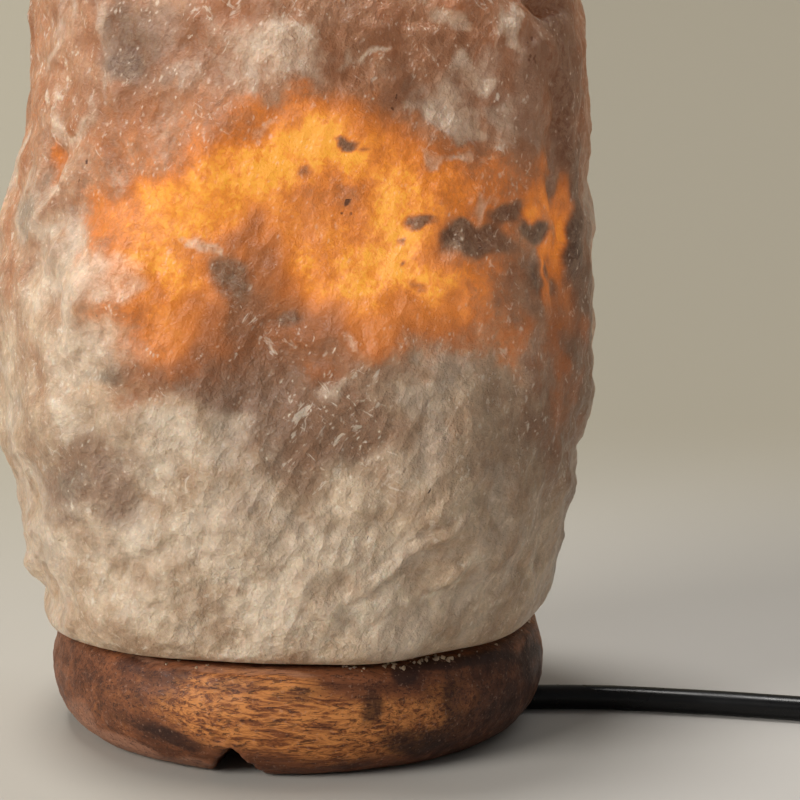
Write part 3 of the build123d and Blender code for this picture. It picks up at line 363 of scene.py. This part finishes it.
# Dents and bumps seen on the crystal: as above, with the height in millimetres instead.
RELIEF = (
    (44, 240, 10, 34, 20, -1.2), (52, 172, 7, 30, 22, -1.3), (66, 120, 18, 30, 0, 0.8),
    (548, 4, 20, 10, 0, -2.0), (558, 180, 7, 110, 0, -1.0), (575, 200, 8, 100, 0, 0.5),
    (432, 540, 56, 6, -34, 0.6), (404, 562, 46, 5, -34, 0.5), (476, 560, 56, 6, -36, 0.6),
    (512, 590, 40, 6, -36, 0.5), (430, 585, 50, 5, -32, 0.5), (470, 233, 30, 10, -5, -0.6),
    (512, 208, 22, 10, -20, -0.5), (375, 56, 11, 5, -6, 0.5), (326, 612, 12, 10, 0, 0.7),
    (210, 242, 20, 6, 18, 0.4), (150, 560, 60, 10, -20, -0.5), (60, 470, 20, 40, 0, -0.6),
    (34, 560, 10, 30, -20, -0.9), (24, 545, 8, 10, 0, -0.8), (124, 40, 16, 20, 0, -0.6),
    (442, 22, 30, 8, 5, -0.7), (364, 348, 30, 8, 22, 0.5), (80, 300, 12, 30, 10, 0.7),
    (112, 284, 14, 26, -20, 0.6), (590, 400, 10, 18, 0, 0.8), (300, 240, 40, 8, -30, -0.3),
    (12, 40, 26, 80, 0, -2.6), (8, 145, 20, 50, 0, -1.6), (12, 500, 20, 34, 0, -2.0),
    (34, 606, 30, 30, 0, -2.8), (594, 190, 14, 24, 0, -1.2), (584, 462, 14, 24, 0, -1.4),
    (455, 500, 40, 5, -40, 0.5), (520, 540, 40, 5, -40, 0.5), (360, 590, 44, 5, -30, 0.4),
    (250, 600, 30, 8, 20, 0.5), (170, 600, 26, 7, -30, -0.5), (236, 470, 30, 6, 10, 0.4),
    (470, 620, 30, 5, -24, -0.5), (400, 420, 30, 6, 10, -0.4), (515, 480, 5, 40, 5, 0.4),
)
PATCHES = {"glow": GLOW, "brown": BROWN_AND_SHADE, "grey": GREY_AND_SHADE, "white": WHITE, "pits": PITS}
SMALL_PATCHES = ("grey", "pits")
# Round the bore, out to a radius and up to a height, the crystal keeps its plain solid's form.
PLAIN_RADIUS = 30.0
PLAIN_HEIGHT = 158.0
SALT_BOTTOM = 27.1
SALT_VOXEL = 1.25
RELIEF_GAIN = 1.4


def fall(x, y, patch, edge=0.45):
    """1 inside a patch and 0 outside, with a soft edge."""
    cx, cy, rx, ry, tilt, size = patch
    dx, dy = x - cx, y - cy
    if abs(dx) > 2 * max(rx, ry) or abs(dy) > 2 * max(rx, ry):
        return 0.0
    angle = math.radians(tilt)
    u = (dx * math.cos(angle) + dy * math.sin(angle)) / rx
    v = (dy * math.cos(angle) - dx * math.sin(angle)) / ry
    far = math.hypot(u, v)
    share = min(1.0, max(0.0, (1 + edge - far) / (2 * edge)))
    return size * share * share * (3 - 2 * share)


def cover(x, y, patches, edge=0.45):
    """How strongly any of the patches covers a pixel."""
    left = 1.0
    for patch in patches:
        left *= 1 - fall(x, y, patch, edge)
    return 1 - left


def ease(low, high, value):
    share = min(1.0, max(0.0, (value - low) / (high - low)))
    return share * share * (3 - 2 * share)


def new_piece(name, mesh, body, slot, *nodes):
    piece = bpy.data.objects.new(name, mesh)
    SCENE.collection.objects.link(piece)
    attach(piece, body)
    if nodes:
        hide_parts(*nodes)
    return piece


def remeshed(node, voxel):
    """Copy of a CAD node's mesh, made of even faces about a voxel wide."""
    source = bpy.data.objects.new("source", NODES[node].data.copy())
    SCENE.collection.objects.link(source)
    change = source.modifiers.new("even", "REMESH")
    change.mode = "VOXEL"
    change.voxel_size = voxel * MM
    change.use_smooth_shade = True
    graph = bpy.context.evaluated_depsgraph_get()
    mesh = bpy.data.meshes.new_from_object(source.evaluated_get(graph))
    bpy.data.objects.remove(source)
    mesh.materials.clear()
    return mesh


def finish_piece(mesh, moved, masks, material):
    """Move a mesh's points, and give it its masks, smooth faces and material."""
    for vertex, spot in zip(mesh.vertices, moved):
        vertex.co = spot
    for name, values in masks.items():
        layer = mesh.attributes.new(name, "FLOAT", "POINT")
        layer.data.foreach_set("value", values)
    mesh.materials.append(material)
    for polygon in mesh.polygons:
        polygon.use_smooth = True


def hewn_relief(p):
    """Height in millimetres of the lumps, hewn facets and ripples at a place in millimetres."""
    lumps = 1.5 * noise.noise(p / 15 + Vector((11, 5, 2)))
    lumps += 0.9 * noise.noise(p / 8 + Vector((3, 1, 7)))
    facets = noise.voronoi(p / 11 + Vector((5, 9, 1)), distance_metric="DISTANCE")[0]
    ripple = 0.50 * noise.noise(p / 4.6) + 0.34 * noise.noise(p / 2.4)
    return lumps + 1.1 * (0.42 - facets[0]) + ripple


def shake(p):
    """Shift in pixels that breaks up the outlines of the patches."""
    sx = 26 * noise.noise(p / 10 + Vector((0, 40, 0)))
    sx += 14 * noise.noise(p / 4 + Vector((7, 0, 0)))
    sy = 26 * noise.noise(p / 10 + Vector((60, 0, 0)))
    sy += 14 * noise.noise(p / 4 + Vector((0, 0, 9)))
    return sx, sy


def zones_behind(p):
    """The masks at the back, where large soft zones take the place of the patches."""
    large = noise.noise(p / 42 + Vector((1, 2, 3)))
    middle = noise.noise(p / 30 + Vector((31, 2, 13)))
    small = noise.noise(p / 18 + Vector((3, 22, 43)))
    heat = ease(62, 100, p.z) * (1 - ease(150, 182, p.z))
    deep = 0.35 + 0.65 * ease(0, 35, p.y)
    return {
        "glow": heat * ease(-0.30, 0.50, large) * (0.55 + 0.5 * small) * deep,
        "brown": ease(0.05, 0.5, middle) * 0.75 + 0.2 * ease(120, 190, p.z),
        "grey": ease(0.28, 0.55, small - 0.4 * large) * 0.8,
        "white": ease(-0.1, 0.5, -middle) * 0.45 * (1 - heat * 0.5),
        "pits": ease(0.2, 0.5, small) * 0.5,
    }


def add_salt(material):
    """The crystal: the CAD block with hewn facets, lumps and pits, and its patches as masks."""
    mesh = remeshed("salt_crystal", SALT_VOXEL)
    masks = {name: [] for name in PATCHES}
    moved = []
    for vertex in mesh.vertices:
        normal = vertex.normal
        p = vertex.co / MM
        if math.hypot(p.x, p.y) < PLAIN_RADIUS and p.z < PLAIN_HEIGHT:
            moved.append(vertex.co.copy())
            for values in masks.values():
                values.append(0.0)
            continue
        px, py = to_pixel(vertex.co)
        sx, sy = shake(p)
        marks = sum(fall(px + 0.2 * sx, py + 0.2 * sy, patch, 0.6) for patch in RELIEF)
        side = ease(-0.45, 0.0, -normal.y)
        rise = ease(0, 7, p.z - SALT_BOTTOM) * (hewn_relief(p) + RELIEF_GAIN * side * marks)
        moved.append(vertex.co + normal * rise * MM)
        front = ease(-0.1, 0.35, -normal.y)
        behind = zones_behind(p)
        for name, patches in PATCHES.items():
            value = 0.0
            if front > 0:
                loose = 0.45 if name in SMALL_PATCHES else 1.0
                soft = 1.0 if name == "glow" else 0.55
                value = front * cover(px + loose * sx, py + loose * sy, patches, soft)
            value += (1 - front) * behind[name]
            masks[name].append(min(1.0, max(0.0, value)))
    finish_piece(mesh, moved, masks, material)
    new_piece("salt_block", mesh, "crystal", "salt", "salt_crystal")


# Two sizes of grain: cells per metre, the pick above which a cell is a pale fleck, the reach of a
# fleck from its cell's middle, and the darkest and lightest tone of a grain.
GRAINS = ((1150.0, 0.74, 0.45, (0.93, 1.07)), (520.0, 0.86, 0.38, (0.95, 1.05)))
# Pale shards: slant in degrees and size in millimetres.
SHARDS = ((38, 2.6), (-50, 2.2))
# What the glow gives off as the heat rises from 0 to 1.
GLOW_TONES = (
    (0.16, (0.080, 0.018, 0.002)), (0.40, (0.29, 0.066, 0.005)), (0.65, (0.53, 0.135, 0.007)),
    (0.85, (0.74, 0.235, 0.010)),
)
GLOW_HOTTEST = (0.90, 0.39, 0.024)
GLOW_STRENGTH = 0.72


def salt_material():
    material, tree, shader = new_material("salt")
    here = place(tree)
    coarse = grain(tree, here, 9.0, 4.0, 0.6)
    cloud = grain(tree, place(tree, (1, 1, 0.8)), 22.0, 5.0, 0.62, 0.6)
    fine = grain(tree, here, 1.4, 4.0, 0.68, 0.5)
    tiny = grain(tree, here, 0.55, 2.0, 0.6)
    off_fine = calc(tree, "SUBTRACT", fine, 0.5)
    off_coarse = calc(tree, "SUBTRACT", coarse, 0.5)
    off_cloud = calc(tree, "SUBTRACT", cloud, 0.5)
    jitter = plus(tree, times(tree, off_fine, 0.5), times(tree, off_coarse, 0.7))

    def edge(name, low, high, loose=1.0):
        """A mask whose edge is broken up by noise."""
        value = mask(tree, name)
        gate = span(tree, value, 0.02, 0.25, 0.0, loose)
        return span(tree, plus(tree, value, times(tree, jitter, gate)), low, high)

    glow = edge("glow", 0.0, 1.0, 0.45)
    brown = edge("brown", 0.05, 1.0)
    grey = edge("grey", 0.15, 0.95)
    white = edge("white", 0.18, 0.85, 1.3)

    # pale below and rosy above, with rust and a milky veil in clouds
    height = put(tree, "ShaderNodeSeparateXYZ", {0: here}).outputs[2]
    upper = span(tree, plus(tree, height, times(tree, off_cloud, 0.09)), 0.080, 0.160)
    mixed = span(tree, coarse, 0.30, 0.70)
    pale = blend(tree, mixed, (0.46, 0.305, 0.195), (0.70, 0.53, 0.37))
    rosy = blend(tree, mixed, (0.35, 0.165, 0.085), (0.55, 0.315, 0.190))
    colour = blend(tree, upper, pale, rosy)
    rust = span(tree, off_cloud, 0.0, 0.14, 0.0, 0.5)
    colour = blend(tree, times(tree, rust, upper), colour, (0.42, 0.155, 0.060))
    veil = span(tree, off_cloud, 0.0, -0.11, 0.0, 0.60)
    colour = blend(tree, veil, colour, (0.68, 0.55, 0.43))

    # the patches
    colour = blend(tree, span(tree, glow, 0.05, 0.55, 0.0, 0.88), colour, (0.46, 0.150, 0.030))
    dark = blend(tree, fine, (0.15, 0.064, 0.030), (0.28, 0.130, 0.064))
    # dark brown patches, with painted shade along the right edge
    colour = blend(tree, times(tree, brown, 0.85), colour, dark)
    milky = blend(tree, mixed, (0.64, 0.485, 0.350), (0.84, 0.70, 0.545))
    colour = blend(tree, times(tree, white, 0.78), colour, milky)
    # near-black grey patches: inclusions, with painted shade along the right edge
    grime_and_shade = blend(tree, span(tree, fine, 0.35, 0.65), (0.050, 0.040, 0.028), (0.24, 0.195, 0.14))
    colour = blend(tree, times(tree, grey, 0.8), colour, grime_and_shade)

    # the grains: a mosaic of lighter and darker crystals, with a few pale flecks among them
    warp = put(tree, "ShaderNodeTexNoise", {"Vector": here, "Scale": 420.0, "Detail": 2.0})
    inputs = {0: warp.outputs["Color"], 1: (0.0016, 0.0016, 0.0016)}
    shift = put(tree, "ShaderNodeVectorMath", inputs, operation="MULTIPLY").outputs[0]
    inputs = {0: shift, 1: place(tree, (1, 1, 0.55), (10, 25, 0))}
    bent = put(tree, "ShaderNodeVectorMath", inputs, operation="ADD").outputs[0]
    flecks = 0.0
    for scale, rare, reach, tones in GRAINS:
        made = put(tree, "ShaderNodeTexVoronoi", {"Vector": bent, "Scale": scale})
        pick = cell_pick(tree, made, 0)
        shade = span(tree, pick, 0.0, 1.0, *tones)
        shades = put(tree, "ShaderNodeCombineColor", {0: shade, 1: shade, 2: shade}).outputs[0]
        colour = blend(tree, 1.0, colour, shades, "MULTIPLY")
        near = span(tree, made.outputs["Distance"], reach, 0.10)
        fleck = times(tree, span(tree, pick, rare, rare + 0.05), near)
        flecks = calc(tree, "MAXIMUM", flecks, fleck)
    flecks = times(tree, flecks, span(tree, coarse, 0.40, 0.62, 0.10, 1.0))
    flecks = times(tree, flecks, span(tree, glow, 0.2, 0.8, 1.0, 0.45))
    colour = blend(tree, times(tree, flecks, 0.7), colour, (0.92, 0.83, 0.70))

    # pale shards along the cleavage, in a few places
    for slant, size in SHARDS:
        thin = grain(tree, place(tree, (1.0, 1.0, 0.35), (0, slant, 0)), size, 3.0, 0.7, 0.8)
        shard = times(tree, span(tree, thin, 0.60, 0.70), span(tree, off_cloud, -0.02, 0.06))
        shard = times(tree, shard, span(tree, glow, 0.2, 0.7, 0.60, 0.10))
        colour = blend(tree, shard, colour, (0.84, 0.73, 0.60))

    # dark pits, only where the crystal has them: the dark is painted shade in holes that the mesh
    # does not have
    made = put(tree, "ShaderNodeTexVoronoi", {"Vector": bent, "Scale": 700.0})
    near = span(tree, made.outputs["Distance"], 0.45, 0.25)
    pick = times(tree, cell_pick(tree, made, 2), mask(tree, "pits"))
    pits = times(tree, near, calc(tree, "GREATER_THAN", pick, 0.5))
    colour = blend(tree, times(tree, pits, 0.9), colour, (0.05, 0.02, 0.01))
    tree.links.new(colour, shader.inputs["Base Color"])

    # the light from inside, held back by what is dark or milky
    uneven = span(tree, plus(tree, off_fine, off_coarse), -0.3, 0.3, 0.80, 1.16)
    heat = times(tree, glow, uneven)
    for share, loss in ((grey, 0.80), (brown, 0.60), (white, 0.35), (pits, 0.9), (flecks, 0.3)):
        heat = times(tree, heat, calc(tree, "SUBTRACT", 1.0, times(tree, share, loss)))
    heat = calc(tree, "MAXIMUM", heat, times(tree, upper, 0.16))
    ramp = put(tree, "ShaderNodeValToRGB", {0: heat})
    stops = ramp.color_ramp.elements
    stops[0].color = (0.0, 0.0, 0.0, 1.0)
    stops[1].color = (*GLOW_HOTTEST, 1.0)
    for spot, tone in GLOW_TONES:
        stops.new(spot).color = (*tone, 1.0)
    tree.links.new(ramp.outputs["Color"], shader.inputs["Emission Color"])
    shader.inputs["Emission Strength"].default_value = GLOW_STRENGTH

    shine = span(tree, fine, 0.3, 0.7, 0.28, 0.54)
    shine = calc(tree, "SUBTRACT", shine, times(tree, flecks, 0.15))
    tree.links.new(shine, shader.inputs["Roughness"])
    shader.inputs["Specular IOR Level"].default_value = 0.5
    shader.inputs["Subsurface Weight"].default_value = 0.3
    shader.inputs["Subsurface Radius"].default_value = (1.0, 0.55, 0.30)
    shader.inputs["Subsurface Scale"].default_value = 0.003
    faces = cells(tree, place(tree, (1.0, 1.0, 0.5), (0, 35, 0)), 7.5)
    surface = bump(tree, faces, 1.0, 0.8)
    surface = bump(tree, cells(tree, bent, 3.2), 1.0, 0.8, surface)
    surface = bump(tree, fine, 0.50, 0.8, surface)
    surface = bump(tree, tiny, 0.30, 0.8, surface)
    tree.links.new(surface, shader.inputs["Normal"])
    return material


# ================================================================== wood
# Lighter rim: wear, and painted sheen on the rounded top rim, the lower left rounding and the left
# edge.
WORN_AND_SHEEN = (
    (120, 744, 60, 9, 24, 0.8), (200, 764, 40, 6, 6, 0.6), (110, 640, 60, 6, 28, 0.7),
    (250, 672, 80, 4, 2, 0.7), (80, 715, 14, 22, -30, 0.6), (190, 662, 60, 4, 6, 0.6),
    (150, 690, 40, 12, 0, 0.3),
)
# Dark stains, and painted shade: the thin lines along the top rim under the crystal and the
# patches on the base's right side stand in for shadow.
STAIN_AND_SHADE = (
    (405, 676, 14, 12, 0, 0.9), (374, 708, 14, 20, 20, 0.7), (412, 742, 34, 14, 0, 0.8),
    (140, 722, 42, 8, 18, 0.5), (170, 738, 40, 9, 18, 0.7), (236, 686, 34, 9, 0, 0.5),
    (452, 690, 14, 36, 0, 0.6), (500, 680, 34, 40, 0, 0.6), (536, 660, 14, 50, 0, 0.6),
    (90, 660, 20, 30, 0, 0.4), (64, 650, 12, 40, 0, 0.3), (470, 730, 60, 20, -20, 0.6),
    (302, 694, 30, 10, 0, 0.45), (456, 662, 60, 6, -8, 0.9), (548, 646, 34, 6, -24, 0.9),
)
# Lighter orange grain where the front faces the light: partly the wood's own streaks, partly
# painted light.
BRIGHT_GRAIN_AND_LIGHT = (
    (250, 706, 76, 40, 0, 1.0), (330, 732, 76, 28, 0, 0.95), (396, 724, 54, 28, 0, 0.65),
    (450, 700, 30, 30, 0, 0.35), (120, 706, 50, 34, 0, 0.20),
)
WOOD_PATCHES = {"worn_and_sheen": WORN_AND_SHEEN, "stain_and_shade": STAIN_AND_SHADE, "bright": BRIGHT_GRAIN_AND_LIGHT}
WOOD_VOXEL = 0.9
WOOD_TOP = 26.3
# Inside this radius and below this height the base keeps its plain solid's form.
RECESS_EDGE = 36.0
FOOT_EDGE = 0.3
# Azimuth of each notch, and how far to its sides and how high up the wood is hacked.
NOTCHES = (256.0, 3.0)
HACKED_REACH = 11.0
HACKED_HEIGHT = 12.0


def hacked(p):
    """Height in millimetres of the rough cuts round the notches."""
    rise = 0.0
    for azimuth in NOTCHES:
        ax, ay, _ = polar(1, azimuth)
        aside = abs(p.y * ax - p.x * ay)
        if p.x * ax + p.y * ay > 0 and aside < HACKED_REACH and p.z < HACKED_HEIGHT:
            rise = 0.9 * noise.noise(p / 1.9) * (1 - aside / HACKED_REACH)
    return rise


def add_base(material):
    """The wooden base: the CAD disc with wear on its rim and notches hacked rather than milled."""
    mesh = remeshed("wooden_base", WOOD_VOXEL)
    masks = {name: [] for name in WOOD_PATCHES}
    moved = []
    for vertex in mesh.vertices:
        normal = vertex.normal
        p = vertex.co / MM
        far = math.hypot(p.x, p.y)
        rise = 0.0
        if far >= RECESS_EDGE and p.z >= FOOT_EDGE:
            turning = 0.05 * math.sin(p.z * 2.4) * ease(50, 58, far)
            wear = 0.28 * noise.noise(p / 12) + 0.12 * noise.noise(p / 3)
            rise = turning + wear + hacked(p)
        moved.append(vertex.co + normal * rise * MM)
        front = ease(-0.1, 0.3, -normal.y)
        px, py = to_pixel(vertex.co)
        px += 6 * noise.noise(p / 8 + Vector((0, 40, 0)))
        py += 3 * noise.noise(p / 8 + Vector((60, 0, 0)))
        large = noise.noise(p / 22 + Vector((9, 4, 1)))
        small = noise.noise(p / 14 + Vector((2, 14, 8)))
        behind = {
            "worn_and_sheen": ease(0.1, 0.4, small) * 0.5,
            "stain_and_shade": ease(0.0, 0.5, large),
            "bright": ease(0.0, 0.4, -large) * 0.6,
        }
        for name, patches in WOOD_PATCHES.items():
            value = front * cover(px, py, patches) if front > 0 else 0.0
            masks[name].append(min(1.0, value + (1 - front) * behind[name]))
    finish_piece(mesh, moved, masks, material)
    new_piece("base_disc", mesh, "crystal", "sheesham", "wooden_base")


def wood_material():
    material, tree, shader = new_material("sheesham")
    here = place(tree)
    bands = grain(tree, place(tree, (0.14, 1.0, 1.0), (0, 5, 0)), 6.0, 4.0, 0.62, 1.2)
    streaks = grain(tree, place(tree, (0.15, 1.0, 1.0), (0, 6, 0)), 1.3, 4.0, 0.72, 0.9)
    lines = grain(tree, place(tree, (0.16, 1.0, 1.0), (0, -5, 0)), 0.62, 3.0, 0.68, 0.8)
    mottle = grain(tree, here, 5.0, 5.0, 0.70)
    specks = grain(tree, here, 0.9, 3.0, 0.65)
    off = calc(tree, "SUBTRACT", mottle, 0.5)

    def patch(name, depth, low, high, most):
        """How much of a patch's colour shows, with an edge that is broken up by the mottle."""
        value = plus(tree, mask(tree, name), times(tree, off, depth))
        return times(tree, span(tree, value, low, high), most)

    colour = blend(tree, span(tree, bands, 0.3, 0.7), (0.090, 0.030, 0.014), (0.27, 0.094, 0.038))
    # orange streaks, lighter where painted light falls on the front
    orange = span(tree, streaks, 0.38, 0.62)
    orange = blend(tree, orange, (0.32, 0.100, 0.030), (0.72, 0.285, 0.080))
    colour = blend(tree, patch("bright", 0.9, 0.10, 0.80, 0.92), colour, orange)
    colour = blend(tree, span(tree, streaks, 0.50, 0.34, 0.0, 0.55), colour, (0.060, 0.020, 0.011))
    # lighter rim: wear, and painted sheen
    rim = blend(tree, specks, (0.30, 0.135, 0.080), (0.52, 0.27, 0.17))
    colour = blend(tree, patch("worn_and_sheen", 0.9, 0.25, 0.85, 0.75), colour, rim)
    # dark stains, and painted shade under the crystal and on the right side
    colour = blend(tree, patch("stain_and_shade", 1.1, 0.2, 0.9, 0.88), colour, (0.028, 0.012, 0.009))
    colour = blend(tree, span(tree, lines, 0.53, 0.62, 0.0, 0.72), colour, (0.035, 0.013, 0.009))
    colour = blend(tree, span(tree, specks, 0.58, 0.70, 0.0, 0.30), colour, (0.55, 0.33, 0.23))
    tree.links.new(colour, shader.inputs["Base Color"])
    tree.links.new(span(tree, mottle, 0.3, 0.7, 0.42, 0.62), shader.inputs["Roughness"])
    shader.inputs["Specular IOR Level"].default_value = 0.28
    surface = bump(tree, lines, 0.16, 0.6)
    surface = bump(tree, streaks, 0.20, 0.5, surface)
    surface = bump(tree, mottle, 0.35, 0.5, surface)
    tree.links.new(surface, shader.inputs["Normal"])
    return material


# ================================================================== crumbs
# Salt crumbs in the gap above the base's rim: azimuths, how many and their largest size.
CRUMBS = (
    (282.0, 288.0, 7, 1.5), (292.0, 311.0, 26, 1.7), (312.0, 344.0, 12, 1.1),
    (344.0, 620.0, 70, 1.2),
)
CRUMB_CORNERS = (
    (1, 1, 1), (-1, -1, 1), (-1, 1, -1), (1, -1, -1), (0, 0, 1.5), (0, -1.5, 0.2), (-1.4, 0, 0),
    (1.4, 0.2, 0),
)
CRUMB_CIRCLE = 53.4


def add_crumbs(material):
    """Crumbs of salt, each the hull of a few corners that are shaken in its own way."""
    points, faces = [], []
    count = 0
    for low, high, number, largest in CRUMBS:
        for index in range(number):
            count += 1
            roll = noise.cell_vector(Vector((count * 1.7, count * 0.3, 5.0)))
            azimuth = low + (high - low) * (index + 0.2 + 0.6 * roll.x) / number
            size = largest * (0.35 + 0.65 * roll.y) * MM
            height = WOOD_TOP - 0.1 - 0.9 * roll.z**2
            middle = Vector(polar(CRUMB_CIRCLE + 3.4 * roll.z, azimuth, height)) * MM
            shape = bmesh.new()
            for k, corner in enumerate(CRUMB_CORNERS):
                shaken = noise.cell_vector(Vector((count * 3.1, k * 2.3, 1.0)))
                shaken -= Vector((0.5, 0.5, 0.5))
                shape.verts.new(middle + (Vector(corner) * 0.32 + shaken * 0.35) * size)
            bmesh.ops.convex_hull(shape, input=shape.verts[:])
            kept = [vert for vert in shape.verts if vert.link_faces]
            order = {vert: len(points) + k for k, vert in enumerate(kept)}
            points += [vert.co.copy() for vert in kept]
            faces += [[order[vert] for vert in face.verts] for face in shape.faces]
            shape.free()
    mesh = bpy.data.meshes.new("salt_crumbs")
    mesh.from_pydata(points, [], faces)
    mesh.materials.append(material)
    new_piece("salt_crumbs", mesh, "crystal", "salt")


# ================================================================== small parts
# Material of each slot: base colour and its variation, range of roughness, metallic, and the size
# and depth of its grain in millimetres.
FINISHES = {
    "glue": ((0.52, 0.47, 0.40), 0.15, (0.40, 0.60), 0.0, 3.0, 0.20),
    "holder_plastic": ((0.020, 0.020, 0.021), 0.20, (0.32, 0.44), 0.0, 0.5, 0.02),
    "steel": ((0.55, 0.55, 0.54), 0.12, (0.25, 0.42), 1.0, 0.6, 0.01),
    "spring_steel": ((0.66, 0.66, 0.65), 0.10, (0.16, 0.30), 1.0, 1.2, 0.01),
    "brass": ((0.72, 0.50, 0.20), 0.14, (0.22, 0.38), 1.0, 1.5, 0.01),
    "brown_core": ((0.13, 0.045, 0.020), 0.10, (0.30, 0.40), 0.0, 0.8, 0.01),
    "blue_core": ((0.02, 0.08, 0.30), 0.10, (0.30, 0.40), 0.0, 0.8, 0.01),
    "cap_metal": ((0.70, 0.70, 0.68), 0.12, (0.28, 0.42), 1.0, 0.8, 0.02),
    "black_glass": ((0.012, 0.012, 0.014), 0.10, (0.08, 0.16), 0.0, 2.0, 0.01),
    "cord_black": ((0.004, 0.004, 0.0045), 0.25, (0.26, 0.36), 0.0, 1.6, 0.02),
    "switch_plastic": ((0.016, 0.016, 0.017), 0.25, (0.30, 0.45), 0.0, 0.35, 0.03),
    "nickel": ((0.68, 0.66, 0.61), 0.10, (0.12, 0.24), 1.0, 1.0, 0.005),
}
CORD_SPECULAR = 0.28


def plain_material(slot):
    tone, change, shine, metal, size, depth = FINISHES[slot]
    material, tree, shader = new_material(slot)
    fine = grain(tree, place(tree), size, 3.0, 0.6)
    cloud = grain(tree, place(tree), 12.0, 3.0, 0.6)
    low, high = (tuple(c * (1 + k * change) for c in tone) for k in (-1, 1))
    tree.links.new(blend(tree, cloud, low, high), shader.inputs["Base Color"])
    tree.links.new(span(tree, cloud, 0.3, 0.7, *shine), shader.inputs["Roughness"])
    shader.inputs["Metallic"].default_value = metal
    if slot == "cord_black":
        shader.inputs["Specular IOR Level"].default_value = CORD_SPECULAR
    tree.links.new(bump(tree, fine, depth, 0.6), shader.inputs["Normal"])
    return material


def glass_material():
    material, tree, shader = new_material("bulb_glass")
    shader.inputs["Base Color"].default_value = (0.98, 0.98, 0.97, 1.0)
    shader.inputs["Transmission Weight"].default_value = 1.0
    shader.inputs["IOR"].default_value = 1.5
    smear = grain(tree, place(tree), 14.0, 3.0, 0.6)
    tree.links.new(span(tree, smear, 0.3, 0.7, 0.02, 0.08), shader.inputs["Roughness"])
    return material


def filament_material():
    material, tree, shader = new_material("tungsten")
    turns = put(tree, "ShaderNodeTexWave", {"Vector": place(tree), "Scale": 700.0}).outputs["Fac"]
    tone = blend(tree, turns, (1.0, 0.42, 0.10), (1.0, 0.66, 0.30))
    tree.links.new(tone, shader.inputs["Emission Color"])
    shader.inputs["Emission Strength"].default_value = 6.0
    shader.inputs["Base Color"].default_value = (0.5, 0.4, 0.3, 1.0)
    return material


def dress_nodes(materials):
    for part in frame["record"]["subparts"]:
        piece = NODES[part["node"]]
        for slot in piece.material_slots:
            slot.material = materials[part["material_slot"]]


# ================================================================== stage
# In metres: the table's front and side edges, where its bend of 1 m starts, and the wall's height.
STAGE_FRONT = -30.0
STAGE_SIDE = 14.0
STAGE_BEND = 3.2
STAGE_HEIGHT = 5.0
STAGE_STEPS = 8


def stage_material():
    material, tree, shader = new_material("stage")
    where = put(tree, "ShaderNodeTexCoord").outputs["Object"]
    axes = put(tree, "ShaderNodeSeparateXYZ", {0: where})
    # painted light falloff: the sheet is painted darker far away than near, and far away darker on
    # the right than on the left
    away = span(tree, axes.outputs[1], 0.02, 0.38)
    across = span(tree, axes.outputs[0], -0.12, 0.12)
    near = blend(tree, across, (0.475, 0.448, 0.395), (0.470, 0.452, 0.424))
    far = blend(tree, across, (0.415, 0.380, 0.300), (0.325, 0.296, 0.234))
    tree.links.new(blend(tree, away, near, far), shader.inputs["Base Color"])
    shader.inputs["Roughness"].default_value = 0.75
    shader.inputs["Specular IOR Level"].default_value = 0.2
    return material


def add_stage():
    """One pale sheet: the table, which curves up into a wall far behind."""
    rows = [(STAGE_FRONT, 0.0), (STAGE_BEND, 0.0)]
    for step in range(1, STAGE_STEPS + 1):
        angle = math.radians(90 * step / STAGE_STEPS)
        rows.append((STAGE_BEND + math.sin(angle), 1 - math.cos(angle)))
    rows.append((STAGE_BEND + 1.0, STAGE_HEIGHT))
    points, faces = [], []
    for x in (-STAGE_SIDE, STAGE_SIDE):
        points += [(x, y, z) for y, z in rows]
    count = len(rows)
    for k in range(count - 1):
        faces.append((k, k + 1, count + k + 1, count + k))
    mesh = bpy.data.meshes.new("stage")
    mesh.from_pydata(points, [], faces)
    mesh.materials.append(stage_material())
    for polygon in mesh.polygons:
        polygon.use_smooth = True
    stage = bpy.data.objects.new("stage", mesh)
    SCENE.collection.objects.link(stage)


def add_sun(name, azimuth, elevation, strength, softness, tone):
    data = bpy.data.lights.new(name, "SUN")
    data.energy = strength
    data.angle = math.radians(softness)
    data.color = tone
    lamp = bpy.data.objects.new(name, data)
    up = math.radians(elevation)
    towards = Vector(polar(math.cos(up), azimuth, math.sin(up)))
    lamp.rotation_euler = towards.to_track_quat("Z", "Y").to_euler()
    SCENE.collection.objects.link(lamp)


def add_light():
    add_sun("above", 150.0, 79.0, 1.95, 19.0, (1.0, 0.98, 0.95))
    add_sun("front_left", 216.0, 27.0, 2.3, 30.0, (1.0, 0.97, 0.93))
    add_sun("back_right", 45.0, 45.0, 0.5, 40.0, (1.0, 0.98, 0.95))
    world = bpy.data.worlds.new("world")
    world.use_nodes = True
    SCENE.world = world
    sky = world.node_tree.nodes["Background"]
    sky.inputs["Color"].default_value = (0.80, 0.80, 0.80, 1.0)
    sky.inputs["Strength"].default_value = 0.19


# ================================================================== scene
SCENE.view_settings.view_transform = "Standard"
MATERIALS = {slot: plain_material(slot) for slot in FINISHES}
MATERIALS["salt"] = salt_material()
MATERIALS["sheesham"] = wood_material()
MATERIALS["bulb_glass"] = glass_material()
MATERIALS["tungsten"] = filament_material()

add_camera()
add_cord(MATERIALS["cord_black"])
dress_nodes(MATERIALS)
add_salt(MATERIALS["salt"])
add_base(MATERIALS["sheesham"])
add_crumbs(MATERIALS["salt"])
add_stage()
add_light()
